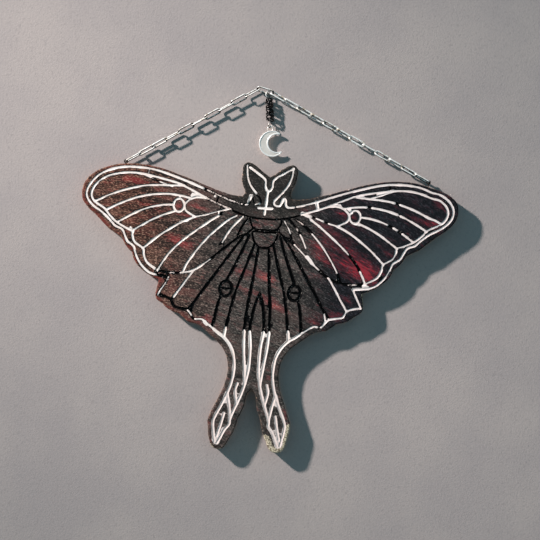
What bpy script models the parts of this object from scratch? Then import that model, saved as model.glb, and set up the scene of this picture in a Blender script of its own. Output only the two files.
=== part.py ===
"""Moth wall hanging: a painted board cut as a luna moth, its carved lines, its link chain and a moon charm.

The board hangs a little turned, as it does on its chain. +Z is up, the carved front faces -Y and the flat
back lies against the wall. The origin is the nail under the chain's top link. Sizes are in millimetres and
become metres where a mesh is made.
"""
import math

import bmesh
import bpy
from mathutils import Matrix, Vector

MM = 0.001

# Board: a half-inch plank, 12 inches across the wings
BOARD_THICKNESS = 12.7
BOARD_BACK_Y = 4.5
BOARD_FRONT_Y = BOARD_BACK_Y - BOARD_THICKNESS
BOARD_CENTRE_X = -1.76
BOARD_CENTRE_Z = -98.3
BOARD_TURN_DEG = 3.94
BODY_LEAN = math.tan(math.radians(0.95))
FRONT_ROUND = 1.3
BACK_ROUND = 0.5
CURVE_TURN_DEG = 16.0

# Where the plaque departs from an even moth: the place's middle on the drawing, its reach across and up, the
# shift there, and the distance out at which it starts. The right wing's tip is fuller than the left one's,
# and the left ear is wider.
UNEVEN_PLACES = [
    ((149, 15), (16, 10), (3.5, 2.0), 131), ((-153, 6), (14, 14), (1.6, 0), 131),
    ((-23, 19), (4.5, 4.5), (-2.2, 0), -6)]
UNEVEN_EASE = 6

# Carved lines
VEIN_WIDTH = 2.1
FINE_WIDTH = 1.6
GROOVE_DEPTH = 1.2
GROOVE_CAP_STEPS = 3

# Chain of long wire links, and the clearance left between pieces that touch
WIRE = 1.0
LINK_LENGTH = 14.6
LINK_WIDTH = 4.5
CLEARANCE = 0.3
TOP_LINK_CENTRE = (-3.0, 0.9)
TOP_LINK_SLOPE_DEG = -17.0
TOP_LINK_TWIST_DEG = 36.0

# Where each run's first link hooks into the top link's end, and how far each link is turned about its length
LEFT_HOOK = (1.75, -0.25)
RIGHT_HOOK = (-1.47, 0.46)
LEFT_TWISTS_DEG = (60, 152, 70, 145, 78, 148, 65, 128, 38, 102)
RIGHT_TWISTS_DEG = (-48, 52, 138, 58, 150, 63, 160, 84, 150, 66, 135, 75)

# Screw eyes in the top edge of the forewings, at these distances from the moth's middle line
EYE_LEFT_U = 118.35
EYE_RIGHT_U = 129.85
EYE_RISE = 2.0
EYE_RADIUS = 1.35
EYE_WIRE = 0.9
EYE_SHANK_LENGTH = 9.0

# Drop that hangs from the top link: ring, dark rope-like chain, ring and moon
DROP_X = 0.2
DROP_Y = 0.8
DROP_RING_RADIUS = 3.0
DROP_RING_WIRE = 0.9
DROP_RING_TURN_DEG = 41.0
DROP_RING_Z = -2.4
ROPE_TOP_Z = -6.2
ROPE_BOTTOM_Z = -24.4
ROPE_RADIUS = 2.6
ROPE_TURNS = 2.5
CHARM_X = 1.0
CHARM_RING_RADIUS = 2.1
CHARM_RING_WIRE = 0.8
CHARM_RING_TURN_DEG = 48.0
BAIL_RADIUS = 2.1
BAIL_WIRE = 1.0
MOON_RADIUS = 10.75
MOON_CUT_RADIUS = 7.2
MOON_THICKNESS = 1.6

# Half outline of the board, right of its middle line, from between the ears to between the tails
HEAD_EDGE = [
    (0, 28.3), (4.5, 31.2), (9.5, 35.2), (14.5, 38.4), (19, 39.2), (22.3, 36.5), (22.9, 31.5),
    (21.8, 24.5), (19.2, 18.5), (18.4, 14.5), (20.5, 11.3)]
FOREWING_EDGE = [
    (20.5, 11.3), (31, 12.4), (50, 17.8), (71, 25.0), (90, 30.1), (104, 31.8), (118, 31.5), (130, 29.0),
    (141, 24.2), (149.6, 16.8), (153.2, 8.2), (152, 0), (146, -7), (137, -14.0), (126.5, -23.4)]
WING_CORNER = [(126.5, -23.4), (120, -26.8), (116, -29.6), (113.5, -34), (110, -38.2), (106.8, -40.6)]
WING_HEEL = [(106.8, -40.6), (105.2, -45.5), (101.8, -50.4), (96.5, -55), (90.5, -58.5), (83.2, -61.6)]
HINDWING_EDGE = [
    (83.2, -61.6), (84.2, -67), (85, -72.5), (83.7, -77.3), (79, -80.6), (75, -84), (70.5, -86.6),
    (64.5, -88), (60.5, -91), (56, -94.2), (50, -95.3), (45.5, -97.2), (38.5, -102.6), (30.8, -109),
    (25.6, -115), (22.2, -122.5), (21.1, -131)]
TAIL_EDGE = [
    (21.1, -131), (22.2, -140), (25.2, -149.5), (31.5, -164.5), (33.9, -172), (33.4, -179), (31.2, -190),
    (28.7, -194.4), (24.5, -196), (19.9, -195), (16.8, -191.8), (14.6, -187), (12.2, -182), (10.4, -177),
    (9, -170.6), (6.8, -165), (4.8, -160), (4.2, -154.5), (2.8, -149), (0, -145.3)]
HALF_OUTLINE = [HEAD_EDGE, FOREWING_EDGE, WING_CORNER, WING_HEEL, HINDWING_EDGE, TAIL_EDGE]

# Carved lines of the right half: head, collar, forewing, hindwing and tail, as (width, route)
HEAD_LINES = [
    (VEIN_WIDTH, [(18.8, 36.2), (18.3, 30), (16.2, 23.5), (12.6, 17.5), (5.5, 9.3)]),
    (VEIN_WIDTH, [(18.8, 36.2), (10, 30.6), (3.6, 25.6), (2.2, 21.5), (0, 17.5)]),
    (FINE_WIDTH, [(28, -1.2), (19, -4), (10, -5.9), (0, -6.3)]),
    (FINE_WIDTH, [(13.2, -6.2), (11.6, -11.5), (8, -14.8), (0, -15.4)]),
    (FINE_WIDTH, [(9.6, -14.2), (13.2, -17.6), (15.6, -20)]),
    (FINE_WIDTH, [(0, -18.6), (9.6, -18.4), (9.2, -22.3), (7, -26.6), (3.6, -29.3), (0, -30)])]
FOREWING_LINES = [
    (VEIN_WIDTH, [(5.5, 9.3), (5.2, 6.6), (8.2, 4.7), (10.8, 6.6), (12.6, 11.4), (14.4, 10.2), (14.9, 6.2),
                  (17.4, 4.3), (24, 5.4), (33, 8), (50, 14.2), (68, 20.6), (85, 25.8), (95, 28), (104, 28.8),
                  (115, 28.7), (126, 26.7), (138, 21.3), (145.3, 14.2), (148.8, 7), (147.6, 1), (142, -4.7),
                  (133, -10), (126, -16), (122, -19.8), (116.3, -22.3), (113.5, -27), (111, -31.7),
                  (105.8, -35.4), (104, -40), (101, -46.3), (96, -52.3), (89, -56.6), (75, -58.5)]),
    (VEIN_WIDTH, [(28, -0.6), (38, 2.8), (50, 7.6), (60, 12.3), (72, 17.5), (80, 19.6), (92, 22), (104, 23.9),
                  (116, 24), (128, 21.4), (137, 16.8), (143, 10.5), (144.6, 4), (141, -1.4), (132, -6.3),
                  (127, -11.8), (120.8, -17), (113, -21), (108, -23), (107.3, -27), (105, -32), (98, -36.8),
                  (96.8, -42), (93.5, -48), (84.5, -53.8)]),
    (VEIN_WIDTH, [(39.6, 10.2), (41.3, 4.6)]),
    (FINE_WIDTH, [(98, 28), (98.6, 23.4)]),
    (FINE_WIDTH, [(84, 16.6), (92, 19.4), (101, 23.2)]),
    (VEIN_WIDTH, [(69, 16.6), (80, 15.9), (90, 15.5), (100, 14.4), (110, 12), (120, 8.7), (130, 4.3),
                  (141, -1)]),
    (VEIN_WIDTH, [(62, 6.4), (70, 8), (80, 8.9), (90, 8.2), (100, 6.3), (110, 3), (120, -1.6),
                  (130.5, -7.4)]),
    (VEIN_WIDTH, [(77, 0.4), (84, -0.2), (93, -2.3), (102, -5.8), (110, -10), (120.5, -16.8)]),
    (VEIN_WIDTH, [(75, -4.8), (83, -8), (92, -12.5), (100, -17.6), (108, -23)]),
    (VEIN_WIDTH, [(58, -8.2), (68, -13), (78, -19.6), (88, -27.2), (98, -36.6)]),
    (VEIN_WIDTH, [(50, 7.6), (57, 7.9), (63, 5.6), (66.8, 1.2), (65.6, -3.8), (58, -8.2)]),
    (FINE_WIDTH, [(58, -8.2), (50, -6.2), (40, -2.8), (31, 0)]),
    (VEIN_WIDTH, [(36, -4.2), (44, -9.6), (52, -15.9), (62, -24), (70, -31.5), (77, -39.8), (82, -48.4),
                  (84.5, -53.8)]),
    (VEIN_WIDTH, [(24, -5), (31, -9.2), (39, -16.6), (46, -24), (52, -31.8), (57.5, -40), (61.8, -47.5),
                  (64, -53.8)]),
    (VEIN_WIDTH, [(19, -5.6), (25, -12), (30.4, -20), (34, -27.5)]),
    (FINE_WIDTH, [(16.6, -8), (19.4, -14), (22, -21)])]
HINDWING_LINES = [
    (VEIN_WIDTH, [(15.6, -20), (20.4, -22), (27, -27.6), (34, -34), (41, -40.4), (48, -46.2), (55, -51.2),
                  (63, -54), (74, -55), (84.5, -53.8)]),
    (VEIN_WIDTH, [(55, -51.2), (60, -59), (65, -67), (71.3, -76.6)]),
    (VEIN_WIDTH, [(75, -58.5), (77.6, -64), (80.8, -69.6), (82.6, -73.6)]),
    (VEIN_WIDTH, [(82.6, -73.6), (77, -74.4), (72.2, -76.4), (69.8, -80.2), (67.6, -82.4), (58.4, -84.2),
                  (55, -87), (51.8, -91), (45.6, -91), (41, -94), (36.5, -97.2), (31, -101.2), (26.4, -104.2),
                  (21.4, -109.6), (18.2, -115.4), (16.4, -122), (15.9, -129), (16.4, -137), (18.8, -147),
                  (24, -160), (28.9, -171.6), (28.5, -180), (26.6, -190)]),
    (VEIN_WIDTH, [(25.4, -96.4), (26.4, -104.2)]),
    (VEIN_WIDTH, [(53.6, -80.4), (55, -87)]),
    (VEIN_WIDTH, [(0, -67), (2.8, -75), (4.8, -86), (5.7, -98)]),
    (VEIN_WIDTH, [(4.4, -31), (5.4, -43), (6.8, -57), (8.3, -70), (9.6, -84), (10.2, -98)]),
    (VEIN_WIDTH, [(7.8, -27.6), (11, -38), (14.3, -49), (18.8, -63), (22, -77), (24.2, -90), (25.4, -96.4)]),
    (VEIN_WIDTH, [(12.6, -20), (17, -32.5), (21.5, -43.5), (26.2, -54.5), (28, -57.6)]),
    (VEIN_WIDTH, [(31.4, -70.6), (33.8, -80), (36.2, -96.6)]),
    (VEIN_WIDTH, [(15.6, -20), (22, -28.8), (29, -39.6), (37, -52.4), (45, -64.8), (51.2, -75), (57.4, -84)])]
TAIL_LINES = [
    (VEIN_WIDTH, [(5.7, -98), (4.2, -110), (3.9, -122), (4.5, -132), (6.2, -141.5), (8.5, -150),
                  (11, -157), (15.6, -169.6), (16, -174.6), (19.6, -179.4), (22.4, -186), (24.6, -190.4)]),
    (VEIN_WIDTH, [(10.2, -98), (9.4, -112), (8, -124), (6.2, -141.5)]),
    (VEIN_WIDTH, [(12, -141), (13.3, -147.4), (11.3, -157.6)]),
    (VEIN_WIDTH, [(19.6, -149.6), (17.6, -158), (16.4, -165), (15.6, -169.6)]),
    (VEIN_WIDTH, [(21, -166), (22.8, -175), (25.4, -185)])]
CROSS_LINES = [(VEIN_WIDTH, [(0, 17.5), (0, -2.6)]), (VEIN_WIDTH, [(-6, 2.6), (6, 2.6)])]

# Eyespots, as centre, half width and half height of the ring's middle line
FOREWING_EYESPOT = ((71.8, 0.3), 4.3, 5.3)
HINDWING_EYESPOT = ((27.8, -64.7), 5.6, 6.9)

# Carved patches where lines run together: wing wedge, tail fork, tail tip
PATCHES = [
    [(51, 7.6), (60.4, 12.4), (64, 6.2), (57, 7.9)],
    [(19.2, -147.6), (24, -158.6), (20.6, -156.8), (17.4, -159)],
    [(21.4, -183), (28.2, -183), (26.8, -190), (24.6, -190.6)]]


def new_collection(name):
    """A collection linked to the scene."""
    group = bpy.data.collections.new(name)
    bpy.context.scene.collection.children.link(group)
    return group


def paint(name, colour, roughness, metallic=0.0):
    """A plain finish for one sub-part."""
    material = bpy.data.materials.new(name)
    material.use_nodes = True
    shader = material.node_tree.nodes["Principled BSDF"]
    shader.inputs["Base Color"].default_value = (*colour, 1.0)
    shader.inputs["Roughness"].default_value = roughness
    shader.inputs["Metallic"].default_value = metallic
    return material


def smooth_route(points, turn_deg=CURVE_TURN_DEG):
    """Points along a Catmull-Rom curve through a route, with more steps where it turns more."""
    ends = [2 * Vector(points[0]) - Vector(points[1])], [2 * Vector(points[-1]) - Vector(points[-2])]
    knots = ends[0] + [Vector(p) for p in points] + ends[1]
    route = [knots[1]]
    for a, b, c, d in zip(knots, knots[1:], knots[2:], knots[3:]):
        start, finish = c - a, d - b
        turn = math.degrees(start.angle(finish, 0.0))
        steps = max(1, math.ceil(turn / turn_deg))
        for step in range(1, steps + 1):
            t = step / steps
            blend = (2 * b + t * (c - a) + t * t * (2 * a - 5 * b + 4 * c - d)
                     + t * t * t * (3 * b - a - 3 * c + d))
            route.append(blend / 2)
    return route


def strip_loop(route, width):
    """Outline of a carved line: both sides of its route, joined by round ends."""
    half = width / 2
    ways = [(b - a).normalized() for a, b in zip(route, route[1:])]
    sides = []
    for index, point in enumerate(route):
        before, after = ways[max(index - 1, 0)], ways[min(index, len(ways) - 1)]
        way = (before + after).normalized()
        reach = half / max(0.6, way.dot(after))
        sides.append((point, Vector((-way.y, way.x)) * reach))
    loop = [point + side for point, side in sides]
    loop += cap(route[-1], ways[-1], half)
    loop += [point - side for point, side in reversed(sides)]
    loop += cap(route[0], -ways[0], half)
    return loop


def cap(centre, way, radius):
    """Round end of a carved line, without its first and last points."""
    start = math.atan2(way.x, -way.y)
    angles = [start - math.pi * step / GROOVE_CAP_STEPS for step in range(1, GROOVE_CAP_STEPS)]
    return [centre + radius * Vector((math.cos(angle), math.sin(angle))) for angle in angles]


def oval(centre, half_width, half_height, start_deg, sweep_deg, steps):
    """Points along an arc of an oval."""
    route = []
    for step in range(steps + 1):
        angle = math.radians(start_deg + sweep_deg * step / steps)
        step_out = Vector((half_width * math.cos(angle), half_height * math.sin(angle)))
        route.append(Vector(centre) + step_out)
    return route


def prism(loop, front_y, back_y):
    """Closed mesh of a flat outline in the XZ plane, carried from its front to its back."""
    mesh = bmesh.new()
    corners = [mesh.verts.new((u * MM, front_y * MM, v * MM)) for u, v in loop]
    face = mesh.faces.new(corners)
    grown = bmesh.ops.extrude_face_region(mesh, geom=[face])
    moved = [item for item in grown["geom"] if isinstance(item, bmesh.types.BMVert)]
    bmesh.ops.translate(mesh, verts=moved, vec=(0, (back_y - front_y) * MM, 0))
    bmesh.ops.recalc_face_normals(mesh, faces=mesh.faces)
    return mesh


def mesh_object(name, mesh, group, material=None):
    """An object from a bmesh, shaded smooth where its faces meet at a low angle."""
    data = bpy.data.meshes.new(name)
    mesh.to_mesh(data)
    mesh.free()
    data.shade_smooth()
    data.set_sharp_from_angle(angle=math.radians(35))
    if material:
        data.materials.append(material)
    thing = bpy.data.objects.new(name, data)
    group.objects.link(thing)
    return thing


def hide_cutter(cutter):
    """A cutter shows as wire and stays out of the model."""
    cutter.hide_render = True
    cutter.display_type = "WIRE"


def solid_from(thing, name, group, material):
    """A plain mesh object with the evaluated shape of another, which is removed."""
    depsgraph = bpy.context.evaluated_depsgraph_get()
    data = bpy.data.meshes.new_from_object(thing.evaluated_get(depsgraph))
    mesh = bmesh.new()
    mesh.from_mesh(data)
    bmesh.ops.remove_doubles(mesh, verts=mesh.verts, dist=0.000002)
    place = thing.matrix_world.copy()
    bpy.data.objects.remove(thing)
    bpy.data.meshes.remove(data)
    made = mesh_object(name, mesh, group, material)
    made.matrix_world = place
    return made


def wire_loop(name, route, wire, group, material, closed=True):
    """A wire bent along a route: a ring or a link, or an open rod with filled ends."""
    curve = bpy.data.curves.new(name, "CURVE")
    curve.dimensions = "3D"
    curve.bevel_depth = wire / 2 * MM
    curve.bevel_resolution = 2
    curve.use_fill_caps = True
    line = curve.splines.new("POLY")
    line.points.add(len(route) - 1)
    for point, place in zip(line.points, route):
        point.co = (place[0] * MM, place[1] * MM, place[2] * MM, 1.0)
    line.use_cyclic_u = closed
    curve.materials.append(material)
    thing = bpy.data.objects.new(name, curve)
    group.objects.link(thing)
    return thing


def ring_route(radius, steps=14):
    """Points round a ring in the XZ plane."""
    return [(radius * math.cos(2 * math.pi * s / steps), 0, radius * math.sin(2 * math.pi * s / steps))
            for s in range(steps)]


def link_route():
    """Points round one long link in the XZ plane: two straight rails and two round ends."""
    bend = (LINK_WIDTH - WIRE) / 2
    straight = (LINK_LENGTH - WIRE) / 2 - bend
    steps = 5
    route = []
    for centre, first in ((straight, -90), (-straight, 90)):
        for step in range(steps + 1):
            angle = math.radians(first + 180 * step / steps)
            route.append((centre + bend * math.cos(angle), 0, bend * math.sin(angle)))
    return route


def place_link(link, centre, slope_deg, twist_deg):
    """Set a link along a slope in the wall's plane, turned about its own length."""
    slope = Matrix.Rotation(-math.radians(slope_deg), 4, "Y")
    twist = Matrix.Rotation(math.radians(twist_deg), 4, "X")
    link.matrix_world = Matrix.Translation((centre[0] * MM, 0, centre[1] * MM)) @ slope @ twist


def uneven(point):
    """A point of the drawing where the saw left it: near each uneven place it is shifted by a soft bell."""
    moved = Vector(point)
    for (middle_u, middle_v), (reach_u, reach_v), shift, start in UNEVEN_PLACES:
        away = ((point.x - middle_u) / reach_u) ** 2 + ((point.y - middle_v) / reach_v) ** 2
        ease = min(max((abs(point.x) - start) / UNEVEN_EASE, 0), 1)
        moved += Vector(shift) * math.exp(-away / 2) * ease * ease * (3 - 2 * ease)
    return moved


def leaned(loop):
    """A loop of the drawing with its body leaned: the plaque was cut a little out of true."""
    return [Vector((point.x + BODY_LEAN * point.y, point.y)) for point in map(uneven, loop)]


def board_to_wall(u, v):
    """A point of the board's drawing as X and Z on the wall."""
    turn = math.radians(BOARD_TURN_DEG)
    u += BODY_LEAN * v
    return (BOARD_CENTRE_X + u * math.cos(turn) + v * math.sin(turn),
            BOARD_CENTRE_Z - u * math.sin(turn) + v * math.cos(turn))


def half_outline():
    """The right half of the board's outline, as one smooth run with its corners kept."""
    outline = []
    for stretch in HALF_OUTLINE:
        outline += smooth_route(stretch)[0 if not outline else 1:]
    return outline


def edge_height(distance):
    """Height of the forewing's top edge at a distance from the middle line."""
    edge = smooth_route(FOREWING_EDGE)
    for a, b in zip(edge, edge[1:]):
        if a.x <= distance <= b.x:
            return a.y + (b.y - a.y) * (distance - a.x) / (b.x - a.x)
    return edge[-1].y


def round_rim(mesh, y, width, steps):
    """Round over the board's rim on the face that lies at this depth."""
    rim = [edge for edge in mesh.edges
           if all(abs(vert.co.y - y * MM) < 1e-6 for vert in edge.verts)]
    bmesh.ops.bevel(mesh, geom=rim, offset=width * MM, segments=steps, profile=0.5, affect="EDGES",
                    clamp_overlap=False)


def groove_loops():
    """Outlines of every carved line and patch, on both halves of the moth."""
    lines = HEAD_LINES + FOREWING_LINES + HINDWING_LINES + TAIL_LINES
    loops = [strip_loop(smooth_route(route), width) for width, route in lines]
    for centre, half_width, half_height in (FOREWING_EYESPOT, HINDWING_EYESPOT):
        for start in (0, 180):
            arc = oval(centre, half_width, half_height, start - 6, 192, 8)
            loops.append(strip_loop(arc, VEIN_WIDTH))
    centre, half_width, _ = HINDWING_EYESPOT
    bar = [Vector((centre[0] - half_width, centre[1])), Vector((centre[0] + half_width, centre[1]))]
    loops.append(strip_loop(bar, FINE_WIDTH))
    loops += [[Vector(point) for point in patch] for patch in PATCHES]
    mirrored = [[Vector((-point.x, point.y)) for point in reversed(loop)] for loop in loops]
    middle = [strip_loop([Vector(p) for p in route], width) for width, route in CROSS_LINES]
    return [leaned(loop) for loop in loops + mirrored + middle]


def make_board(group, cutters):
    """The plank cut to its outline, rounded over, carved, and drilled for its screw eyes."""
    right = half_outline()
    left = [Vector((-point.x, point.y)) for point in reversed(right[1:-1])]
    plank = prism([tuple(point) for point in leaned(right + left)], BOARD_FRONT_Y, BOARD_BACK_Y)
    round_rim(plank, BOARD_FRONT_Y, FRONT_ROUND, 2)
    round_rim(plank, BOARD_BACK_Y, BACK_ROUND, 1)
    board = mesh_object("plank", plank, group, paint("painted_wood", (0.045, 0.03, 0.028), 0.6))
    board.location = (BOARD_CENTRE_X * MM, 0, BOARD_CENTRE_Z * MM)
    board.rotation_euler = (0, math.radians(BOARD_TURN_DEG), 0)
    for number, loop in enumerate(groove_loops()):
        floor = BOARD_FRONT_Y + GROOVE_DEPTH
        cutter = mesh_object(f"groove_{number:03d}", prism(loop, BOARD_FRONT_Y - 1, floor), cutters)
        cutter.matrix_world = board.matrix_basis
        hide_cutter(cutter)
    for side, distance in ((-1, EYE_LEFT_U), (1, EYE_RIGHT_U)):
        top = edge_height(distance) + 2
        depth = EYE_SHANK_LENGTH + 2 + 2 * CLEARANCE
        hole = bmesh.new()
        bmesh.ops.create_cone(hole, cap_ends=True, segments=10, radius1=(EYE_WIRE / 2 + CLEARANCE) * MM,
                              radius2=(EYE_WIRE / 2 + CLEARANCE) * MM, depth=depth * MM)
        across = side * distance + BODY_LEAN * top
        bmesh.ops.translate(hole, verts=hole.verts, vec=(across * MM, 0, (top - depth / 2) * MM))
        drill = mesh_object(f"drill_{'left' if side < 0 else 'right'}", hole, cutters)
        drill.matrix_world = board.matrix_basis
        hide_cutter(drill)
    carve = board.modifiers.new("carve", "BOOLEAN")
    carve.operand_type = "COLLECTION"
    carve.collection = cutters
    carve.solver = "EXACT"
    carved = solid_from(board, "moth_board", group, board.data.materials[0])
    return carved


def make_eye(name, side, distance, group, material):
    """A small screw eye: a ring on a shank that is sunk in the board's top edge."""
    rise = edge_height(distance) + EYE_RISE
    centre = Vector((side * distance + BODY_LEAN * rise, 0, rise))
    parts = new_collection(f"{name}_parts")
    ring = wire_loop("eye_ring", ring_route(EYE_RADIUS), EYE_WIRE, parts, material)
    ring.matrix_world = Matrix.Translation(centre * MM)
    shank_top = -EYE_RADIUS
    shank_foot = shank_top - (EYE_RISE - EYE_RADIUS) - EYE_SHANK_LENGTH
    shank = wire_loop("eye_shank", [(0, 0, shank_top), (0, 0, shank_foot)], EYE_WIRE, parts, material, False)
    shank.matrix_world = Matrix.Translation(centre * MM)
    ring_body = solid_from(ring, name, group, material)
    shank_body = solid_from(shank, f"{name}_shank", parts, material)
    join(ring_body, shank_body)
    body = solid_from(ring_body, name, group, material)
    bpy.data.objects.remove(shank_body)
    bpy.data.collections.remove(parts)
    place = Matrix.Translation((BOARD_CENTRE_X * MM, 0, BOARD_CENTRE_Z * MM))
    place = place @ Matrix.Rotation(math.radians(BOARD_TURN_DEG), 4, "Y")
    body.matrix_world = place @ body.matrix_world
    return body


def join(body, other):
    """Union of two closed bodies, left as a modifier on the first."""
    union = body.modifiers.new("join", "BOOLEAN")
    union.operation = "UNION"
    union.object = other
    union.solver = "EXACT"


def link_centres(start, way, count):
    """Centres of a straight run of links, with wires that clear each other by the same gap."""
    reach = LINK_LENGTH - WIRE
    pitch = reach - WIRE - CLEARANCE
    return [start + way * (reach / 2 + pitch * number) for number in range(count)]


def eye_centre(side, distance):
    """Middle of a screw eye's ring on the wall."""
    return Vector(board_to_wall(side * distance, edge_height(distance) + EYE_RISE))


def make_chain(group, material):
    """The top link, and a straight run of links from each of its ends down to a screw eye."""
    slope = math.radians(TOP_LINK_SLOPE_DEG)
    way = Vector((math.cos(slope), math.sin(slope)))
    centre = Vector(TOP_LINK_CENTRE)
    reach = (LINK_LENGTH - WIRE) / 2
    top = wire_loop("top_link", link_route(), WIRE, group, material)
    place_link(top, centre, TOP_LINK_SLOPE_DEG, TOP_LINK_TWIST_DEG)
    runs = (("left", -1, EYE_LEFT_U, LEFT_HOOK, LEFT_TWISTS_DEG),
            ("right", 1, EYE_RIGHT_U, RIGHT_HOOK, RIGHT_TWISTS_DEG))
    for name, side, distance, hook, twists in runs:
        start = centre + side * way * reach + Vector(hook)
        run = (eye_centre(side, distance) - start).normalized()
        run_slope = math.degrees(math.atan2(run.y, run.x))
        middles = link_centres(start, run, len(twists))
        for number, (middle, twist) in enumerate(zip(middles, twists)):
            link = wire_loop(f"{name}_link_{number + 1:02d}", link_route(), WIRE, group, material)
            place_link(link, middle, run_slope, twist)


def make_rope(group, material):
    """The dark twisted chain of the drop: two lobes that turn as it runs down, thin at both ends."""
    length = ROPE_TOP_Z - ROPE_BOTTOM_Z
    rows, sides = 26, 12
    mesh = bmesh.new()
    rings = []
    for row in range(rows + 1):
        share = row / rows
        end = math.sqrt(max(0.0, 1 - abs(2 * share - 1) ** 6))
        twist = 2 * math.pi * ROPE_TURNS * share
        ring = []
        for side in range(sides):
            angle = 2 * math.pi * side / sides
            lobe = 1 + 0.16 * math.cos(2 * (angle - twist))
            radius = (0.8 + (ROPE_RADIUS * lobe / 1.16 - 0.8) * end) * MM
            ring.append(mesh.verts.new((radius * math.cos(angle) + share * (CHARM_X - DROP_X) * MM,
                                        radius * math.sin(angle), -share * length * MM)))
        rings.append(ring)
    for upper, lower in zip(rings, rings[1:]):
        for side in range(sides):
            after = (side + 1) % sides
            mesh.faces.new((upper[side], lower[side], lower[after], upper[after]))
    mesh.faces.new(rings[0])
    mesh.faces.new(reversed(rings[-1]))
    bmesh.ops.triangulate(mesh, faces=mesh.faces)
    bmesh.ops.recalc_face_normals(mesh, faces=mesh.faces)
    rope = mesh_object("rope_chain", mesh, group, material)
    rope.location = (DROP_X * MM, DROP_Y * MM, ROPE_TOP_Z * MM)
    return rope


def moon_loop(centre, cut_centre):
    """Crescent outline: the outer round, a small round tip, the inner round, and the other tip."""
    offset = (cut_centre - centre).length
    lean = math.atan2(cut_centre.y - centre.y, cut_centre.x - centre.x)
    tip_radius = 0.75
    reach = MOON_RADIUS - tip_radius
    cut_reach = MOON_CUT_RADIUS + tip_radius
    cosine = (reach ** 2 + offset ** 2 - cut_reach ** 2) / (2 * reach * offset)
    opening = math.acos(cosine)
    tips = [centre + reach * Vector((math.cos(angle), math.sin(angle)))
            for angle in (lean + opening, lean - opening)]
    loop = []
    for step in range(33):
        angle = lean + opening + (2 * math.pi - 2 * opening) * step / 32
        loop.append(centre + MOON_RADIUS * Vector((math.cos(angle), math.sin(angle))))
    inner = [math.atan2(tip.y - cut_centre.y, tip.x - cut_centre.x) for tip in tips]
    loop += tip_round(tips[1], lean - opening, inner[1] + math.pi, tip_radius)
    sweep = (inner[0] - inner[1]) % (2 * math.pi)
    for step in range(25):
        angle = inner[1] - (2 * math.pi - sweep) * step / 24
        loop.append(cut_centre + MOON_CUT_RADIUS * Vector((math.cos(angle), math.sin(angle))))
    loop += tip_round(tips[0], inner[0] + math.pi, lean + opening, tip_radius)
    return loop


def tip_round(centre, start, finish, radius, steps=4):
    """Points round a crescent's tip, between its outer and inner rounds."""
    sweep = (finish - start) % (2 * math.pi)
    angles = [start + sweep * step / steps for step in range(1, steps)]
    return [centre + radius * Vector((math.cos(angle), math.sin(angle))) for angle in angles]


def make_drop(group, silver, dark, pearl):
    """The drop under the top link: its ring, the dark twisted chain, a small ring and the moon."""
    ring = wire_loop("drop_ring", ring_route(DROP_RING_RADIUS, 18), DROP_RING_WIRE, group, silver)
    turn = Matrix.Rotation(math.radians(DROP_RING_TURN_DEG), 4, "Z")
    ring.matrix_world = Matrix.Translation((0, DROP_Y * MM, DROP_RING_Z * MM)) @ turn
    make_rope(group, dark)
    small_z = ROPE_BOTTOM_Z - 1.5 * CLEARANCE - CHARM_RING_WIRE / 2 - CHARM_RING_RADIUS
    small = wire_loop("charm_ring", ring_route(CHARM_RING_RADIUS, 14), CHARM_RING_WIRE, group, silver)
    turn = Matrix.Rotation(math.radians(CHARM_RING_TURN_DEG), 4, "Z")
    small.matrix_world = Matrix.Translation((CHARM_X * MM, DROP_Y * MM, small_z * MM)) @ turn
    bail_gap = (CHARM_RING_WIRE + BAIL_WIRE) / 2 + CLEARANCE
    bail_z = small_z - CHARM_RING_RADIUS - BAIL_RADIUS + bail_gap
    centre = Vector((CHARM_X + 1.5, bail_z - 12.2))
    cut_centre = centre + Vector((4.1, 0.4))
    loop = moon_loop(centre, cut_centre)
    plate = prism([tuple(p) for p in loop], DROP_Y - MOON_THICKNESS / 2, DROP_Y + MOON_THICKNESS / 2)
    moon = mesh_object("moon_plate", plate, group, pearl)
    bail = wire_loop("bail", ring_route(BAIL_RADIUS, 14), BAIL_WIRE, group, pearl)
    bail.location = (CHARM_X * MM, DROP_Y * MM, bail_z * MM)
    bpy.context.view_layer.update()
    bail_body = solid_from(bail, "bail_body", group, pearl)
    join(moon, bail_body)
    bpy.context.view_layer.update()
    solid_from(moon, "moon_charm", group, pearl)
    bpy.data.objects.remove(bail_body)


def build():
    """Clear the scene and make the hanging."""
    for thing in list(bpy.data.objects):
        bpy.data.objects.remove(thing)
    group = new_collection("moth_wall_hanging")
    cutters = new_collection("cutters")
    silver = paint("silver", (0.62, 0.6, 0.57), 0.28, 1.0)
    dark = paint("blackened_metal", (0.02, 0.019, 0.018), 0.32, 0.8)
    pearl = paint("pearl_silver", (0.72, 0.69, 0.64), 0.35, 0.6)
    make_board(group, cutters)
    make_eye("eye_left", -1, EYE_LEFT_U, group, dark)
    make_eye("eye_right", 1, EYE_RIGHT_U, group, dark)
    make_chain(group, silver)
    make_drop(group, silver, dark, pearl)


build()
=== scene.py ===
"""Looks of a moth wall plaque: the painted, carved board, its link chain, its moon charm and the wall behind.

Every piece is in metres in the plaque's own frame: the nail is the origin, +Z is up and the front faces -Y.
Drawings of the board are in millimetres: u across from the moth's middle line, v up from its neck.
"""
import math

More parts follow.
